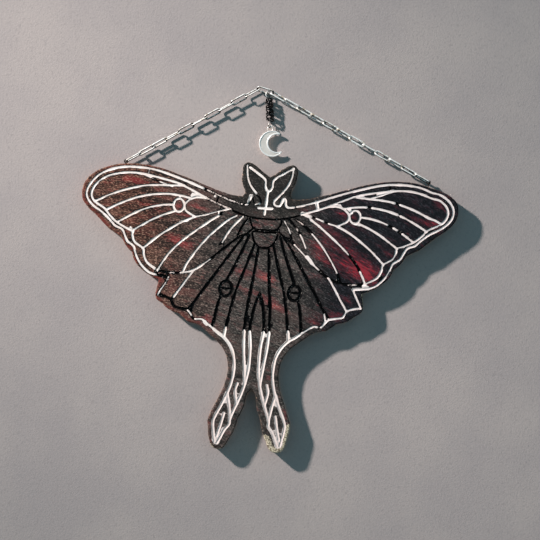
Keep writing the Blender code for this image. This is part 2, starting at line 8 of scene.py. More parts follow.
import bpy
import numpy as np
from mathutils.geometry import delaunay_2d_cdt
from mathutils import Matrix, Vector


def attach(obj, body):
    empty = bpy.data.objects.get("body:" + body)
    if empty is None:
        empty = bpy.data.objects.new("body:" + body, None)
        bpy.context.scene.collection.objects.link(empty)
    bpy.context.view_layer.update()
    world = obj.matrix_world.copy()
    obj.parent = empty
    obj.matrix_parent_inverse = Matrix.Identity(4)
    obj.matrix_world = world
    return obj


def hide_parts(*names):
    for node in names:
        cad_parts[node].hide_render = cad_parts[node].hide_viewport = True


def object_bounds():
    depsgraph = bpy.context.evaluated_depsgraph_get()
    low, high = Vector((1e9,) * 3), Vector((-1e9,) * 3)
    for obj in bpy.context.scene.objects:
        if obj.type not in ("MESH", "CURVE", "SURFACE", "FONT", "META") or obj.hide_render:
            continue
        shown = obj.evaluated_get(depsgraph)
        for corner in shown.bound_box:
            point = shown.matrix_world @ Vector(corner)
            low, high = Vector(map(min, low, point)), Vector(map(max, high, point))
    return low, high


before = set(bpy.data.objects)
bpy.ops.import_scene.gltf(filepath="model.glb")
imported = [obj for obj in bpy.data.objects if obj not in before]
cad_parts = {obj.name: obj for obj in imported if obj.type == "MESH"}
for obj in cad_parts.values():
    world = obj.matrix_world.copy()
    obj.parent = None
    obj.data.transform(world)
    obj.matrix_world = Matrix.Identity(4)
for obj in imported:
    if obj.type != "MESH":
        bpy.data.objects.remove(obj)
cad_low, cad_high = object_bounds()

# The board: half-inch light wood sawn to a luna moth's outline, its edges eased by hand. It hangs a little
# turned on its chain, and its body leans. Its uneven places, each with a middle, a reach, a shift and how far
# out it starts, are a fuller right wing tip, a shorter left one and a wider left ear.
MM = 0.001
FRONT_Y, BACK_Y = -8.2, 4.5
BOARD_X, BOARD_Z = -1.76, -98.3
BOARD_TURN = math.radians(3.94)
BODY_LEAN = math.tan(math.radians(0.95))
EDGE_ROUND, BACK_ROUND = 1.2, 0.4
SAWN_IN, LEAST_SAWN_IN, KEPT_INSIDE = 0.36, 0.3, 0.02
LINE_STEP, UNEVEN_EASE = 0.9, 6
UNEVEN_PLACES = [((149, 15), (16, 10), (3.5, 2.0), 131), ((-153, 6), (14, 14), (1.6, 0), 131),
                 ((-23, 19), (4.5, 4.5), (-2.2, 0), -6)]
EAR = [
    (0, 28.3), (4.5, 31.2), (9.5, 35.2), (14.5, 38.4), (19, 39.2), (22.3, 36.5), (22.9, 31.5), (21.8, 24.5),
    (19.2, 18.5), (18.4, 14.5), (20.5, 11.3)]
FOREWING = [
    (20.5, 11.3), (31, 12.4), (50, 17.8), (71, 25.0), (90, 30.1), (104, 31.8), (118, 31.5), (130, 29.0),
    (141, 24.2), (149.6, 16.8), (153.2, 8.2), (152, 0), (146, -7), (137, -14.0), (126.5, -23.4)]
WING_CORNER = [(126.5, -23.4), (120, -26.8), (116, -29.6), (113.5, -34), (110, -38.2), (106.8, -40.6)]
WING_HEEL = [(106.8, -40.6), (105.2, -45.5), (101.8, -50.4), (96.5, -55), (90.5, -58.5), (83.2, -61.6)]
HINDWING = [
    (83.2, -61.6), (84.2, -67), (85, -72.5), (83.7, -77.3), (79, -80.6), (75, -84), (70.5, -86.6),
    (64.5, -88), (60.5, -91), (56, -94.2), (50, -95.3), (45.5, -97.2), (38.5, -102.6), (30.8, -109),
    (25.6, -115), (22.2, -122.5), (21.1, -131)]
TAIL = [
    (21.1, -131), (22.2, -140), (25.2, -149.5), (31.5, -164.5), (33.9, -172), (33.4, -179), (31.2, -190),
    (28.7, -194.4), (24.5, -196), (19.9, -195), (16.8, -191.8), (14.6, -187), (12.2, -182), (10.4, -177),
    (9, -170.6), (6.8, -165), (4.8, -160), (4.2, -154.5), (2.8, -149), (0, -145.3)]


def smooth_line(points, step):
    """Catmull-Rom curve through the points: each span is a cubic that leaves a point along the line between
    its two neighbours. It is then read again at even steps of its length."""
    p = np.asarray(points, float)
    k = np.vstack([2 * p[0] - p[1], p, 2 * p[-1] - p[-2]])
    a, b, c, d = (k[i:len(k) - 3 + i, None] for i in range(4))
    t = np.linspace(0, 1, 24, endpoint=False)[None, :, None]
    bend, twist = 2 * a - 5 * b + 4 * c - d, 3 * b - a - 3 * c + d
    curve = (2 * b + t * (c - a) + t ** 2 * bend + t ** 3 * twist) / 2
    curve = np.vstack([curve.reshape(-1, p.shape[1]), p[-1:]])
    run = np.concatenate([[0], np.cumsum(np.linalg.norm(np.diff(curve, axis=0), axis=1))])
    at = np.linspace(0, run[-1], max(2, round(run[-1] / step)) + 1)
    return np.column_stack([np.interp(at, run, axis) for axis in curve.T])


def hand_wobble(count, wave, size, seed):
    """A slow random drift along a line: random knots every wave steps, joined by a cosine ease."""
    knots = np.random.default_rng(seed).normal(0, size, count // wave + 3)
    at = np.arange(count) / wave
    i, t = at.astype(int), at % 1
    ease = (1 - np.cos(np.pi * t)) / 2
    return knots[i] * (1 - ease) + knots[i + 1] * ease


def on_wall(points, side=1):
    """A point of the drawing on the wall: mirrored for the left side, shifted by a soft bell near each uneven
    place, leaned, turned about the neck and moved."""
    drawn = np.column_stack([side * points[:, 0], points[:, 1]]).astype(float)
    placed = drawn.copy()
    for middle, reach, shift, start in UNEVEN_PLACES:
        ease = np.clip((np.abs(drawn[:, :1]) - start) / UNEVEN_EASE, 0, 1)
        bell = np.exp(-(((drawn - middle) / reach) ** 2).sum(1, keepdims=True) / 2)
        placed += shift * bell * ease * ease * (3 - 2 * ease)
    u, v = placed[:, 0] + BODY_LEAN * placed[:, 1], placed[:, 1]
    return np.column_stack([BOARD_X + u * math.cos(BOARD_TURN) + v * math.sin(BOARD_TURN),
                            BOARD_Z - u * math.sin(BOARD_TURN) + v * math.cos(BOARD_TURN)])


def around(centre, radius, turn):
    """Points of a circle, or of an oval with two radii, at angles counted from its right."""
    return np.asarray(centre) + np.asarray(radius) * np.column_stack([np.cos(turn), np.sin(turn)])


def across(line, closed=False):
    """Unit vectors at right angles to a line, to its left, from the way between each point's neighbours."""
    if closed:
        way = np.roll(line, -1, 0) - np.roll(line, 1, 0)
    else:
        way = np.gradient(line, axis=0)
    way = way / np.linalg.norm(way, axis=1, keepdims=True)
    return np.column_stack([-way[:, 1], way[:, 0]])


half = [smooth_line(run, LINE_STEP) for run in (EAR, FOREWING, WING_CORNER, WING_HEEL, HINDWING, TAIL)]
half = np.vstack([run[:-1] for run in half])
rough_cut = hand_wobble(2 * len(half), 3, 0.10, 4) + hand_wobble(2 * len(half), 9, 0.12, 5)
outline = np.vstack([on_wall(half), on_wall(np.vstack([half, TAIL[-1:]])[:0:-1], -1)])
outline = outline[::-1] if np.cross(outline, np.roll(outline, -1, 0)).sum() < 0 else outline
outline += across(outline, closed=True) * np.maximum(LEAST_SAWN_IN, SAWN_IN + rough_cut[:len(outline), None])
reach_low, reach_high = np.array(cad_low) / MM + KEPT_INSIDE, np.array(cad_high) / MM - KEPT_INSIDE
outline = np.clip(outline, reach_low[[0, 2]], reach_high[[0, 2]])

# The carved lines: a gouge a little over 2 mm wide, run along pencilled veins, margins and eyespots. Each
# route has its half width, its points, and the paints of the left and of the right wing, each up to a point
# of the route. Black ink lies in every line, and cream over it where it was painted.
VEIN, FINE, HIND_RING, HIND_BAR, CROSS_ARM = 1.05, 0.8, 1.25, 0.9, 1.2
CREAM, THICK, THIN, WORN, BLACK = "cream", "thick", "thin", "worn", "black"
WHOLE_CREAM, WHOLE_BLACK = [(CREAM, None)], [(BLACK, None)]
BOTH_CREAM, BOTH_BLACK = (WHOLE_CREAM,) * 2, (WHOLE_BLACK,) * 2
CARVED = {
    "ear_outer": (VEIN, [(18.8, 36.2), (18.3, 30), (16.2, 23.5), (12.6, 17.5), (5.5, 9.3)],
        [(CREAM, (10, 14)), (BLACK, None)], WHOLE_CREAM),
    "ear_inner": (VEIN, [(18.8, 36.2), (10, 30.6), (3.5, 25.6), (2.9, 20.6), (1.7, 17.5), (0, 16.4)],
        [(BLACK, (17.3, 35.2)), (CREAM, None)], WHOLE_CREAM),
    "collar": (FINE, [(28, -1.2), (19, -4), (10, -5.9), (0, -6.3)], *BOTH_BLACK),
    "neck_plate": (FINE, [(13.2, -6.2), (11.6, -11.5), (8, -14.8), (0, -15.4)], *BOTH_BLACK),
    "plate_link": (FINE, [(9.6, -14.2), (13.2, -17.6), (15.6, -20)], *BOTH_BLACK),
    "shield": (FINE, [(0, -17.3), (9.5, -17.2), (9.3, -22.3), (7, -26.6), (3.6, -29.3), (0, -30)],
        *BOTH_BLACK),
    "outer_margin": (VEIN, [(5.5, 9.3), (5.2, 6.6), (8.2, 4.7), (10.8, 6.6), (12.6, 11.4), (14.4, 10.2),
        (14.9, 6.2), (17.4, 4.3), (24, 5.4), (33, 8), (50, 14.2), (68, 20.6), (85, 25.8), (95, 28),
        (104, 28.8), (115, 28.7), (126, 26.7), (138, 21.3), (145.3, 14.2), (148.8, 7), (147.6, 1),
        (142, -4.7), (133, -10), (126, -16), (122, -19.8), (116.3, -22.3), (113.5, -27), (111, -31.7),
        (105.8, -35.4), (104, -40), (101, -46.3), (96, -52.3), (89, -56.6), (75, -58.5)],
        [(BLACK, (15.2, 5.4)), (THIN, (17.8, 4.3)), (BLACK, (19.2, 4.5)), (THIN, (21, 4.7)),
        (BLACK, (22.4, 5)), (WORN, (49.5, 14)), (BLACK, (52, 15)), (CREAM, (86, -57)), (BLACK, None)],
        [(CREAM, (22.1, 5.2)), (BLACK, (23, 5.3)), (CREAM, (88, -56.8)), (THICK, None)]),
    "inner_margin": (VEIN, [(28, -0.6), (38, 2.8), (50, 7.6), (60, 12.3), (72, 17.5), (80, 19.6), (92, 22),
        (104, 23.9), (116, 24), (128, 21.4), (137, 16.8), (143, 10.5), (144.6, 4), (141, -1.4), (132, -6.3),
        (127, -11.8), (120.8, -17), (113, -21), (108, -23), (107.3, -27), (105, -32), (98, -36.8),
        (96.8, -42), (93.5, -48), (84.5, -53.8)], [(WORN, (50, 7.6)), (CREAM, (87, -52.5)), (BLACK, None)],
        WHOLE_CREAM),
    "margin_tick": (VEIN, [(39.6, 10.2), (41.3, 4.6)], [(BLACK, None)], [(THICK, None)]),
    "fine_tick": (FINE, [(98, 28), (98.6, 23.4)], [(THIN, None)], WHOLE_BLACK),
    "second_line": (FINE, [(84, 16.6), (92, 19.4), (101, 23.2)], [(WORN, (95, 20.6)), (CREAM, None)],
        WHOLE_CREAM),
    "vein_1": (VEIN, [(69, 16.6), (80, 15.9), (90, 15.5), (100, 14.4), (110, 12), (120, 8.7), (130, 4.3),
        (141, -1)], WHOLE_CREAM, [(CREAM, (103.6, 13.5)), (BLACK, (107, 12.7)), (CREAM, None)]),
    "vein_2": (VEIN, [(62, 6.4), (70, 8), (80, 8.9), (90, 8.2), (100, 6.3), (110, 3), (120, -1.6),
        (130.5, -7.4)], WHOLE_CREAM, [(CREAM, (81, 8.9)), (BLACK, (84.5, 8.8)), (CREAM, (106.6, 4.2)),
        (BLACK, (108, 3.7)), (CREAM, None)]),
    "vein_3": (VEIN, [(77, 0.4), (84, -0.2), (93, -2.3), (102, -5.8), (110, -10), (120.5, -16.8)],
        WHOLE_CREAM, [(CREAM, (98.8, -4.5)), (BLACK, (102.6, -6)), (CREAM, (107.2, -8.5)),
        (BLACK, (111, -10.6)), (CREAM, None)]),
    "vein_4": (VEIN, [(75, -4.8), (83, -8), (92, -12.5), (100, -17.6), (108, -23)], *BOTH_CREAM),
    "vein_5": (VEIN, [(58, -8.2), (68, -13), (78, -19.6), (88, -27.2), (98, -36.6)], *BOTH_CREAM),
    "cell_tip": (VEIN, [(50, 7.6), (57, 7.9), (63, 5.6), (66.8, 1.2), (65.6, -3.8), (58, -8.2)],
        *BOTH_CREAM),
    "cell_edge": (FINE, [(58, -8.2), (50, -6.2), (40, -2.8), (31, 0)], WHOLE_CREAM, [(CREAM, (51, -6.4)),
        (BLACK, (47.5, -5.4)), (CREAM, (41, -3.1)), (BLACK, (37, -1.9)), (THICK, None)]),
    "vein_6": (VEIN, [(36, -4.2), (44, -9.6), (52, -15.9), (62, -24), (70, -31.5), (77, -39.8), (82, -48.4),
        (84.5, -53.8)], [(BLACK, (39.2, -6.4)), (CREAM, None)], [(CREAM, (62, -24)), (THIN, (69, -30.5)),
        (BLACK, (79.4, -43.6)), (CREAM, None)]),
    "vein_7": (VEIN, [(24, -5), (31, -9.2), (39, -16.6), (46, -24), (52, -31.8), (57.5, -40), (61.8, -47.5),
        (64, -53.8)], WHOLE_CREAM, [(WORN, (30, -8.6)), (BLACK, (38, -15.4)), (THIN, (61, -46)),
        (BLACK, None)]),
    "vein_8": (VEIN, [(19, -5.6), (25, -12), (30.4, -20), (34, -27.5)], [(CREAM, (34, -27.5)),
        (BLACK, None)], [(BLACK, (24.5, -11.6)), (WORN, (26.6, -14.2)), (BLACK, (28, -16.4)), (THIN, None)]),
    "vein_9": (FINE, [(15, -7), (19.4, -14), (22, -21)], WHOLE_BLACK, [(THIN, (20.5, -17)), (BLACK, None)]),
    "wing_seam": (VEIN, [(15.6, -20), (20.4, -22), (27, -27.6), (34, -34), (41, -40.4), (48, -46.2),
        (55, -51.2), (63, -54), (74, -55), (84.5, -53.8)], [(BLACK, (41.6, -41)), (THIN, (47, -45.4)),
        (CREAM, (66, -54.4)), (BLACK, (70, -54.8)), (WORN, (76, -54.8)), (BLACK, None)],
        [(BLACK, (24, -25.2)), (THIN, (34, -34)), (CREAM, (42, -41.2)), (THIN, (46, -44.6)),
        (BLACK, (53, -50)), (THIN, (55, -51.2)), (BLACK, (70, -54.9)), (WORN, (77, -54.7)), (BLACK, None)]),
    "hind_vein_1": (VEIN, [(55, -51.2), (60, -59), (65, -67), (71.3, -76.6)], [(CREAM, (69.8, -74.4)),
        (BLACK, None)], WHOLE_CREAM),
    "heel_line": (VEIN, [(75, -58.5), (77.6, -64), (80.8, -69.6), (82.6, -73.6)], [(WORN, (78, -65)),
        (THIN, None)], WHOLE_CREAM),
    "hind_margin": (VEIN, [(82.6, -73.6), (77, -74.4), (72.2, -76.4), (69.8, -80.2), (67.6, -82.4),
        (58.4, -84.2), (55, -87), (51.8, -91), (45.6, -91), (41, -94), (36.5, -97.2), (31, -101.2),
        (26.4, -104.2), (21.4, -109.6), (18.2, -115.4), (16.4, -122), (15.9, -129), (16.4, -137),
        (18.8, -147), (24, -160), (28.9, -171.6), (28.5, -180), (26.6, -190)], [(BLACK, (58.4, -84.2)),
        (THIN, (54, -88.2)), (BLACK, (51.6, -91)), (CREAM, None)], [(CREAM, (51.7, -91)),
        (BLACK, (50.2, -91)), (CREAM, None)]),
    "fork_stub": (VEIN, [(25.4, -96.4), (26.4, -104.2)], *BOTH_CREAM),
    "lobe_stub": (VEIN, [(53.6, -80.4), (55, -87)], WHOLE_BLACK, WHOLE_CREAM),
    "heart_vein": (VEIN, [(0, -67), (2.8, -75), (4.8, -86), (5.7, -98)], *BOTH_BLACK),
    "hind_vein_7": (VEIN, [(4.4, -31), (5.4, -43), (6.8, -57), (8.3, -70), (9.6, -84), (10.2, -98)],
        *BOTH_BLACK),
    "hind_vein_6": (VEIN, [(7.8, -27.6), (11, -38), (14.3, -49), (18.8, -63), (22, -77), (24.2, -90),
        (25.4, -96.4)], *BOTH_BLACK),
    "hind_vein_5": (VEIN, [(12.6, -20), (17, -32.5), (21.5, -43.5), (26.2, -54.5), (28, -57.6)],
        *BOTH_BLACK),
    "hind_vein_4": (VEIN, [(31.4, -70.6), (33.8, -80), (36.2, -96.6)], *BOTH_BLACK),
    "hind_vein_3": (VEIN, [(15.6, -20), (22, -28.8), (29, -39.6), (37, -52.4), (45, -64.8), (51.2, -75),
        (57.4, -84)], *BOTH_BLACK),
    "tail_inner": (VEIN, [(5.7, -98), (4.2, -110), (3.9, -122), (4.5, -132), (6.2, -141.5), (8.5, -150),
        (11, -157), (15.6, -169.6), (16, -174.6), (19.6, -179.4), (22.4, -186), (24.6, -190.4)],
        *BOTH_CREAM),
    "tail_outer": (VEIN, [(10.2, -98), (9.4, -112), (8, -124), (6.2, -141.5)], *BOTH_CREAM),
    "tail_stub": (VEIN, [(12, -141), (13.3, -147.4), (11.3, -157.6)], *BOTH_CREAM),
    "tail_fork": (VEIN, [(19.6, -149.6), (17.6, -158), (16.4, -165), (15.6, -169.6)], *BOTH_CREAM),
    "tail_tip_stub": (VEIN, [(21, -166), (22.8, -175), (25.4, -185)], *BOTH_CREAM)}
EYESPOTS = {"fore": ((71.8, 0.3), 4.3, 5.3, CREAM), "hind": ((27.9, -64.7), 4.9, 6.1, BLACK)}
CROSS = [[(-0.6, 16.2), (-1.1, 6), (-1.9, -2.7)], [(-7.2, 2.4), (4.4, 2.5)]]

# Dabs of cream where the brush pooled at forks and tips, as a short line with a half width at each end:
# the wing wedge, the tail's fork and tip on both sides, then slips of the brush on one side only. Knots are
# blots of black ink beside the lines, each with its radius.
DABS = [
    (-1, [(52, 8.8), (60.6, 8.8)], (0.5, 2.2)), (1, [(53, 8.4), (59, 8.6)], (0.5, 1.4)),
    (0, [(20.4, -149), (21, -156)], (1.0, 2.2)), (0, [(23.6, -182), (24.8, -189.4)], (0.8, 2.6)),
    (-1, [(6, -126), (6.3, -141)], (0.5, 1.5)), (1, [(6, -133), (6.3, -141)], (0.5, 1.4)),
    (0, [(25.6, -185), (27.2, -188)], (1.2, 1.6)),
    (-1, [(13.7, 11.8), (14.6, 9.4), (15.9, 6.2)], (1.7, 0.7)), (-1, [(43, 9.4), (43.1, 9.6)], (1.2, 1.0)),
    (-1, [(78, 15), (88, 18)], (0.5, 0.4)), (-1, [(64, -11.8), (70, -13)], (1.2, 0.5)),
    (-1, [(42.8, -93), (41, -95)], (1.6, 1.2)), (-1, [(107.4, -23.6), (109.6, -20)], (1.5, 0.5)),
    (1, [(29, 0.5), (35, -2.6)], (1.5, 0.8)), (1, [(84, -55.4), (87, -56)], (1.8, 1.1)),
    (1, [(88, 19.6), (101, 24)], (0.5, 1.0)), (1, [(74.6, 18.2), (79.4, 16)], (0.9, 0.6)),
    (1, [(36, -34.5), (40, -39.6)], (1.3, 1.5)), (1, [(4.6, -99), (9.8, -101.6)], (1.1, 1.1)),
    (1, [(69, 3.4), (66.4, 6.6)], (0.9, 1.4)), (1, [(65, 22.6), (65, 24)], (0.7, 0.4)),
    (1, [(76, -5.6), (72, -5)], (1.3, 1.0)), (1, [(10.3, 5), (12.4, 10.6)], (0.8, 1.3)),
    (1, [(13, 11), (14.6, 9)], (1.3, 0.9)), (-1, [(10, 4.9), (6.4, 5.9)], (0.5, 0.7)),
    (-1, [(71.4, 6), (71.3, 8)], (0.7, 0.6)), (-1, [(38.8, -6.4), (38.9, -3.2)], (0.8, 0.5))]
NO_PAINT, FAR = -9.0, 9.0
HALF_WIDTH = {CREAM: 0.84, THICK: 1.2, THIN: 0.58, WORN: 0.58, BLACK: NO_PAINT}
WEAR = {CREAM: 0.0, THICK: 0.0, THIN: 0.15, WORN: 0.75, BLACK: 0.0}
TAIL_TOP, TAIL_FULLER = -98, 0.42
SLOP_CREAM, SLOP_BLACK, SLOP_LEAST, LEAST_POOL = 0.2, 0.25, 0.1, 0.3


def paint_along(line, spans, half_width, seed):
    """Half width of the cream paint, and its wear, at each point of a route. A span runs up to the route's
    point that lies nearest its named point, and a slow drift makes the brush line uneven."""
    width, wear, first = np.full(len(line), NO_PAINT), np.zeros(len(line)), 0
    for paint, upto in spans:
        last = len(line) if upto is None else 1 + int(np.argmin(((line - upto) ** 2).sum(1)))
        width[first:last], wear[first:last] = HALF_WIDTH[paint] * half_width / VEIN, WEAR[paint]
        first = max(first, last)
    drift = hand_wobble(len(line), 5, 0.09, seed) + hand_wobble(len(line), 2, 0.05, seed + 500)
    return np.where(width > 0, width + drift - wear * np.abs(drift), width), wear


def ink_slop(name, side, line, width):
    """How far the black ink runs past the cut along a route. Routes that are black on both wings get fuller
    down the hindwing. The ink is held back at the left tick, beside the hind eyespot and at the black hooks
    below the ears."""
    fuller = 0.05 + 0.35 * np.clip((-20 - line[:, 1]) / 22, 0, 1)
    black = fuller if CARVED[name][2:] == BOTH_BLACK else SLOP_BLACK
    slop = np.where(width > 0, SLOP_CREAM, black)
    slop = slop - 0.6 * (name == "margin_tick" and side < 0)
    slop = slop - 0.4 * (name == "hind_vein_6") * np.exp(-((line[:, 1] + 65) / 6) ** 2)
    return np.where((width < 0) & (line[:, 1] > 3) & (line[:, 0] < 14), -0.5, slop)


routes = []
for number, (name, (half_width, points, left, right)) in enumerate(CARVED.items()):
    for side, spans in ((-1, left), (1, right)):
        line = smooth_line(points, LINE_STEP)
        width, wear = paint_along(line, spans, half_width, 40 * number + side + 9)
        width = width + TAIL_FULLER * (line[:, 1] < TAIL_TOP)
        slop = ink_slop(name, side, line, width) + hand_wobble(len(line), 4, 0.14, 7000 + 40 * number + side)
        routes.append((on_wall(line, side), half_width, width, wear, slop))
for side in (-1, 1):
    for centre, wide, high, paint in EYESPOTS.values():
        ring = around(centre, (wide, high), np.linspace(0, 2 * np.pi, 45))
        painted = paint_along(ring, [(paint, None)], VEIN, 2900 + side)
        half_width, slop = (VEIN, SLOP_CREAM) if paint == CREAM else (HIND_RING, SLOP_BLACK)
        routes.append((on_wall(ring, side), half_width, *painted, slop))
    (u, v), wide = EYESPOTS["hind"][:2]
    bar = smooth_line([(u - wide, v), (u + wide, v)], LINE_STEP)
    routes.append((on_wall(bar, side), HIND_BAR, NO_PAINT, 0, SLOP_LEAST))
for points in CROSS:
    line = smooth_line(points, LINE_STEP)
    routes.append((on_wall(line), VEIN, *paint_along(line, WHOLE_CREAM, CROSS_ARM, 77), SLOP_LEAST))
pools = []
for side, points, ends in DABS:
    line = smooth_line(points, 0.6)
    for hand in ((-1, 1) if side == 0 else (side,)):
        width = np.linspace(*ends, len(line)) + hand_wobble(len(line), 3, 0.1, 61)
        pools.append((on_wall(line, hand), np.maximum(width, LEAST_POOL)))
KNOTS = [
    (-1, (16.8, -47), 1.1), (1, (12, -91.8), 1.1), (1, (62.5, -51.6), 1.7), (1, (19.4, -22), 0.9),
    (-1, (85.6, -54.6), 1.7), (-1, (19, -21.6), 0.9), (1, (34.6, -69), 1.2), (-1, (36, -29.5), 1.0)]


def gap_to_line(spots, line, width, wear=None):
    """Distance from each spot to its nearest point on a line, less the half width there, so it is negative
    inside. The line is taken a few steps at a time, each with the spots near it."""
    steps, near_by = 12, 5
    width = np.broadcast_to(width, len(line))
    gap, worn = np.full(len(spots), FAR), np.zeros(len(spots))
    for first in range(0, len(line) - 1, steps):
        part, w = line[first:first + steps + 1], width[first:first + steps + 1]
        near = np.nonzero(((spots > part.min(0) - near_by) & (spots < part.max(0) + near_by)).all(1))[0]
        if not near.size:
            continue
        from_start, way = spots[near][:, None] - part[:-1], part[1:] - part[:-1]
        t = np.clip((from_start * way).sum(2) / (way ** 2).sum(1), 0, 1)
        d = np.linalg.norm(from_start - t[..., None] * way, axis=2) - (w[:-1] + (w[1:] - w[:-1]) * t)
        best = d.argmin(1)
        d = d[np.arange(len(near)), best]
        closer = d < gap[near]
        gap[near[closer]] = d[closer]
        if wear is not None:
            worn[near[closer]] = wear[first + best[closer]]
    return gap, worn


def pooled(a, b, reach=0.5):
    """Smooth union of two gaps: the smaller one, with a rounded web of paint where they meet."""
    mix = np.clip(0.5 + (b - a) / (2 * reach), 0, 1)
    return b * (1 - mix) + a * mix - reach * mix * (1 - mix)


# The board's mesh: spots follow each carved line and the sawn edge closely and lie wider apart on the open
# face. They are joined by Delaunay triangles, and each one's depth comes from its distance to the carving.
CARVE_DEPTH, FILLED_DEPTH, PAINT_PROUD, FACE_BACK = 1.15, 0.42, 0.06, 0.08
FACE_GRID, FACE_JITTER, SAME_SPOT = 2.1, 0.6, 0.23
EDGE_STEPS, CLEAR_OF_EDGE, GRID_CLEAR_OF_EDGE, GRID_CLEAR_OF_CUT = (0.14, 0.42, 0.8, 1.25, 2.2), 2.3, 2.8, 0.9
LIP_WIDTH, LIP_POWER, FILM_WIDTH = 0.75, 2.4, 0.3


def triangulated(loop, inner):
    """Delaunay triangles over the spots inside a closed loop, with the place of each loop point among them.
    Spots outside the loop, which no triangle uses, are dropped."""
    spots = np.vstack([loop, inner])
    found, _, faces, came_from, _, _ = delaunay_2d_cdt(
        [tuple(s) for s in spots.tolist()], [], [list(range(len(loop)))], 1, 1e-4)
    places, counts = np.zeros(len(spots), int), [len(c) for c in came_from]
    places[np.concatenate(came_from).astype(int)] = np.repeat(np.arange(len(came_from)), counts)
    used, faces = np.unique(np.array(faces, int).ravel(), return_inverse=True)
    found = np.array([tuple(f) for f in found])[used]
    return found, faces.reshape(-1, 3), np.searchsorted(used, places[:len(loop)])


def spots_on_face():
    """Spots beside each carved line at shares of its half width, beside the edge, and on a jittered grid."""
    beside = []
    for line, half_width, *_ in routes:
        beside.append(line)
        for off in (0.4 * half_width, 0.76 * half_width, half_width, half_width + 0.3):
            beside += [line + across(line) * off, line - across(line) * off]
    for line, width in pools:
        beside += [line, line + across(line) * width[:, None], line - across(line) * width[:, None]]
    beside = np.vstack(beside)
    _, kept = np.unique(np.round(beside / SAME_SPOT), axis=0, return_index=True)
    beside = beside[kept]
    edge = np.vstack([outline + across(outline, closed=True) * deep for deep in EDGE_STEPS])
    low, high = outline.min(0), outline.max(0)
    x, z = np.meshgrid(*(np.arange(*span, FACE_GRID) for span in zip(low, high)))
    open_face = np.column_stack([x.ravel(), z.ravel()])
    open_face += np.random.default_rng(8).uniform(-FACE_JITTER, FACE_JITTER, open_face.shape)
    beside = beside[gap_to_line(beside, closed_outline, 0)[0] > CLEAR_OF_EDGE]
    open_face = open_face[gap_to_line(open_face, closed_outline, 0)[0] > GRID_CLEAR_OF_EDGE]
    for line, half_width, *_ in routes:
        open_face = open_face[gap_to_line(open_face, line, half_width)[0] > GRID_CLEAR_OF_CUT]
    return np.vstack([edge, beside, open_face])


closed_outline = np.vstack([outline, outline[:1]])
spots, triangles, rim = triangulated(outline, spots_on_face())
edge_gap, _ = gap_to_line(spots, closed_outline, 0)
cut_gap, ink_gap, cream_gap = np.full((3, len(spots)), FAR)
wear = np.zeros(len(spots))
for line, half_width, width, worn, slop in routes:
    cut_gap = np.minimum(cut_gap, gap_to_line(spots, line, half_width)[0])
    ink_gap = pooled(ink_gap, gap_to_line(spots, line, half_width + slop)[0])
    if np.max(width) > 0:
        gap, worn_here = gap_to_line(spots, line, width, worn)
        wear = np.where(gap < cream_gap, worn_here, wear)
        cream_gap = pooled(cream_gap, gap)
for side, place, radius in KNOTS:
    away = np.linalg.norm(spots - on_wall(np.array([place]), side), axis=1)
    ink_gap = pooled(ink_gap, away - radius)
for line, width in pools:
    gap, _ = gap_to_line(spots, line, width)
    wear = np.where(gap < cream_gap, 0.0, wear)
    cream_gap = pooled(cream_gap, gap)


def eased(from_edge, radius):
    """How far a quarter round of a radius lies back at each distance from the edge."""
    return (1 - np.sqrt(1 - (1 - np.clip(from_edge / radius, 0, 1)) ** 2)) * radius


def front_depth():
    """Y of the front at each spot: a quarter round at the edge, a gouged trough where a line is cut, steep at
    its lips and flat along its floor, and shallower where cream paint fills it."""
    trough = 1 - (1 - np.clip(-cut_gap / LIP_WIDTH, 0, 1)) ** LIP_POWER
    filled = np.clip(0.5 - cream_gap / FILM_WIDTH, 0, 1)
    paint = PAINT_PROUD * np.clip(-cream_gap / FILM_WIDTH, 0, 1) * (cut_gap > -0.1)
    depth = CARVE_DEPTH * (1 - filled) + FILLED_DEPTH * filled
    return FRONT_Y + FACE_BACK + eased(edge_gap, EDGE_ROUND) + trough * depth - paint


def new_piece(name, corners, faces, material, sharp=50):
    """A mesh object from corners in millimetres and its faces, shaded smooth below the sharp angle."""
    mesh = bpy.data.meshes.new(name)
    mesh.from_pydata((np.asarray(corners) * MM).tolist(), [], faces)
    mesh.shade_smooth()
    mesh.set_sharp_from_angle(angle=math.radians(sharp))
    mesh.materials.append(material)
    piece = bpy.data.objects.new(name, mesh)
    bpy.context.scene.collection.objects.link(piece)
    return piece


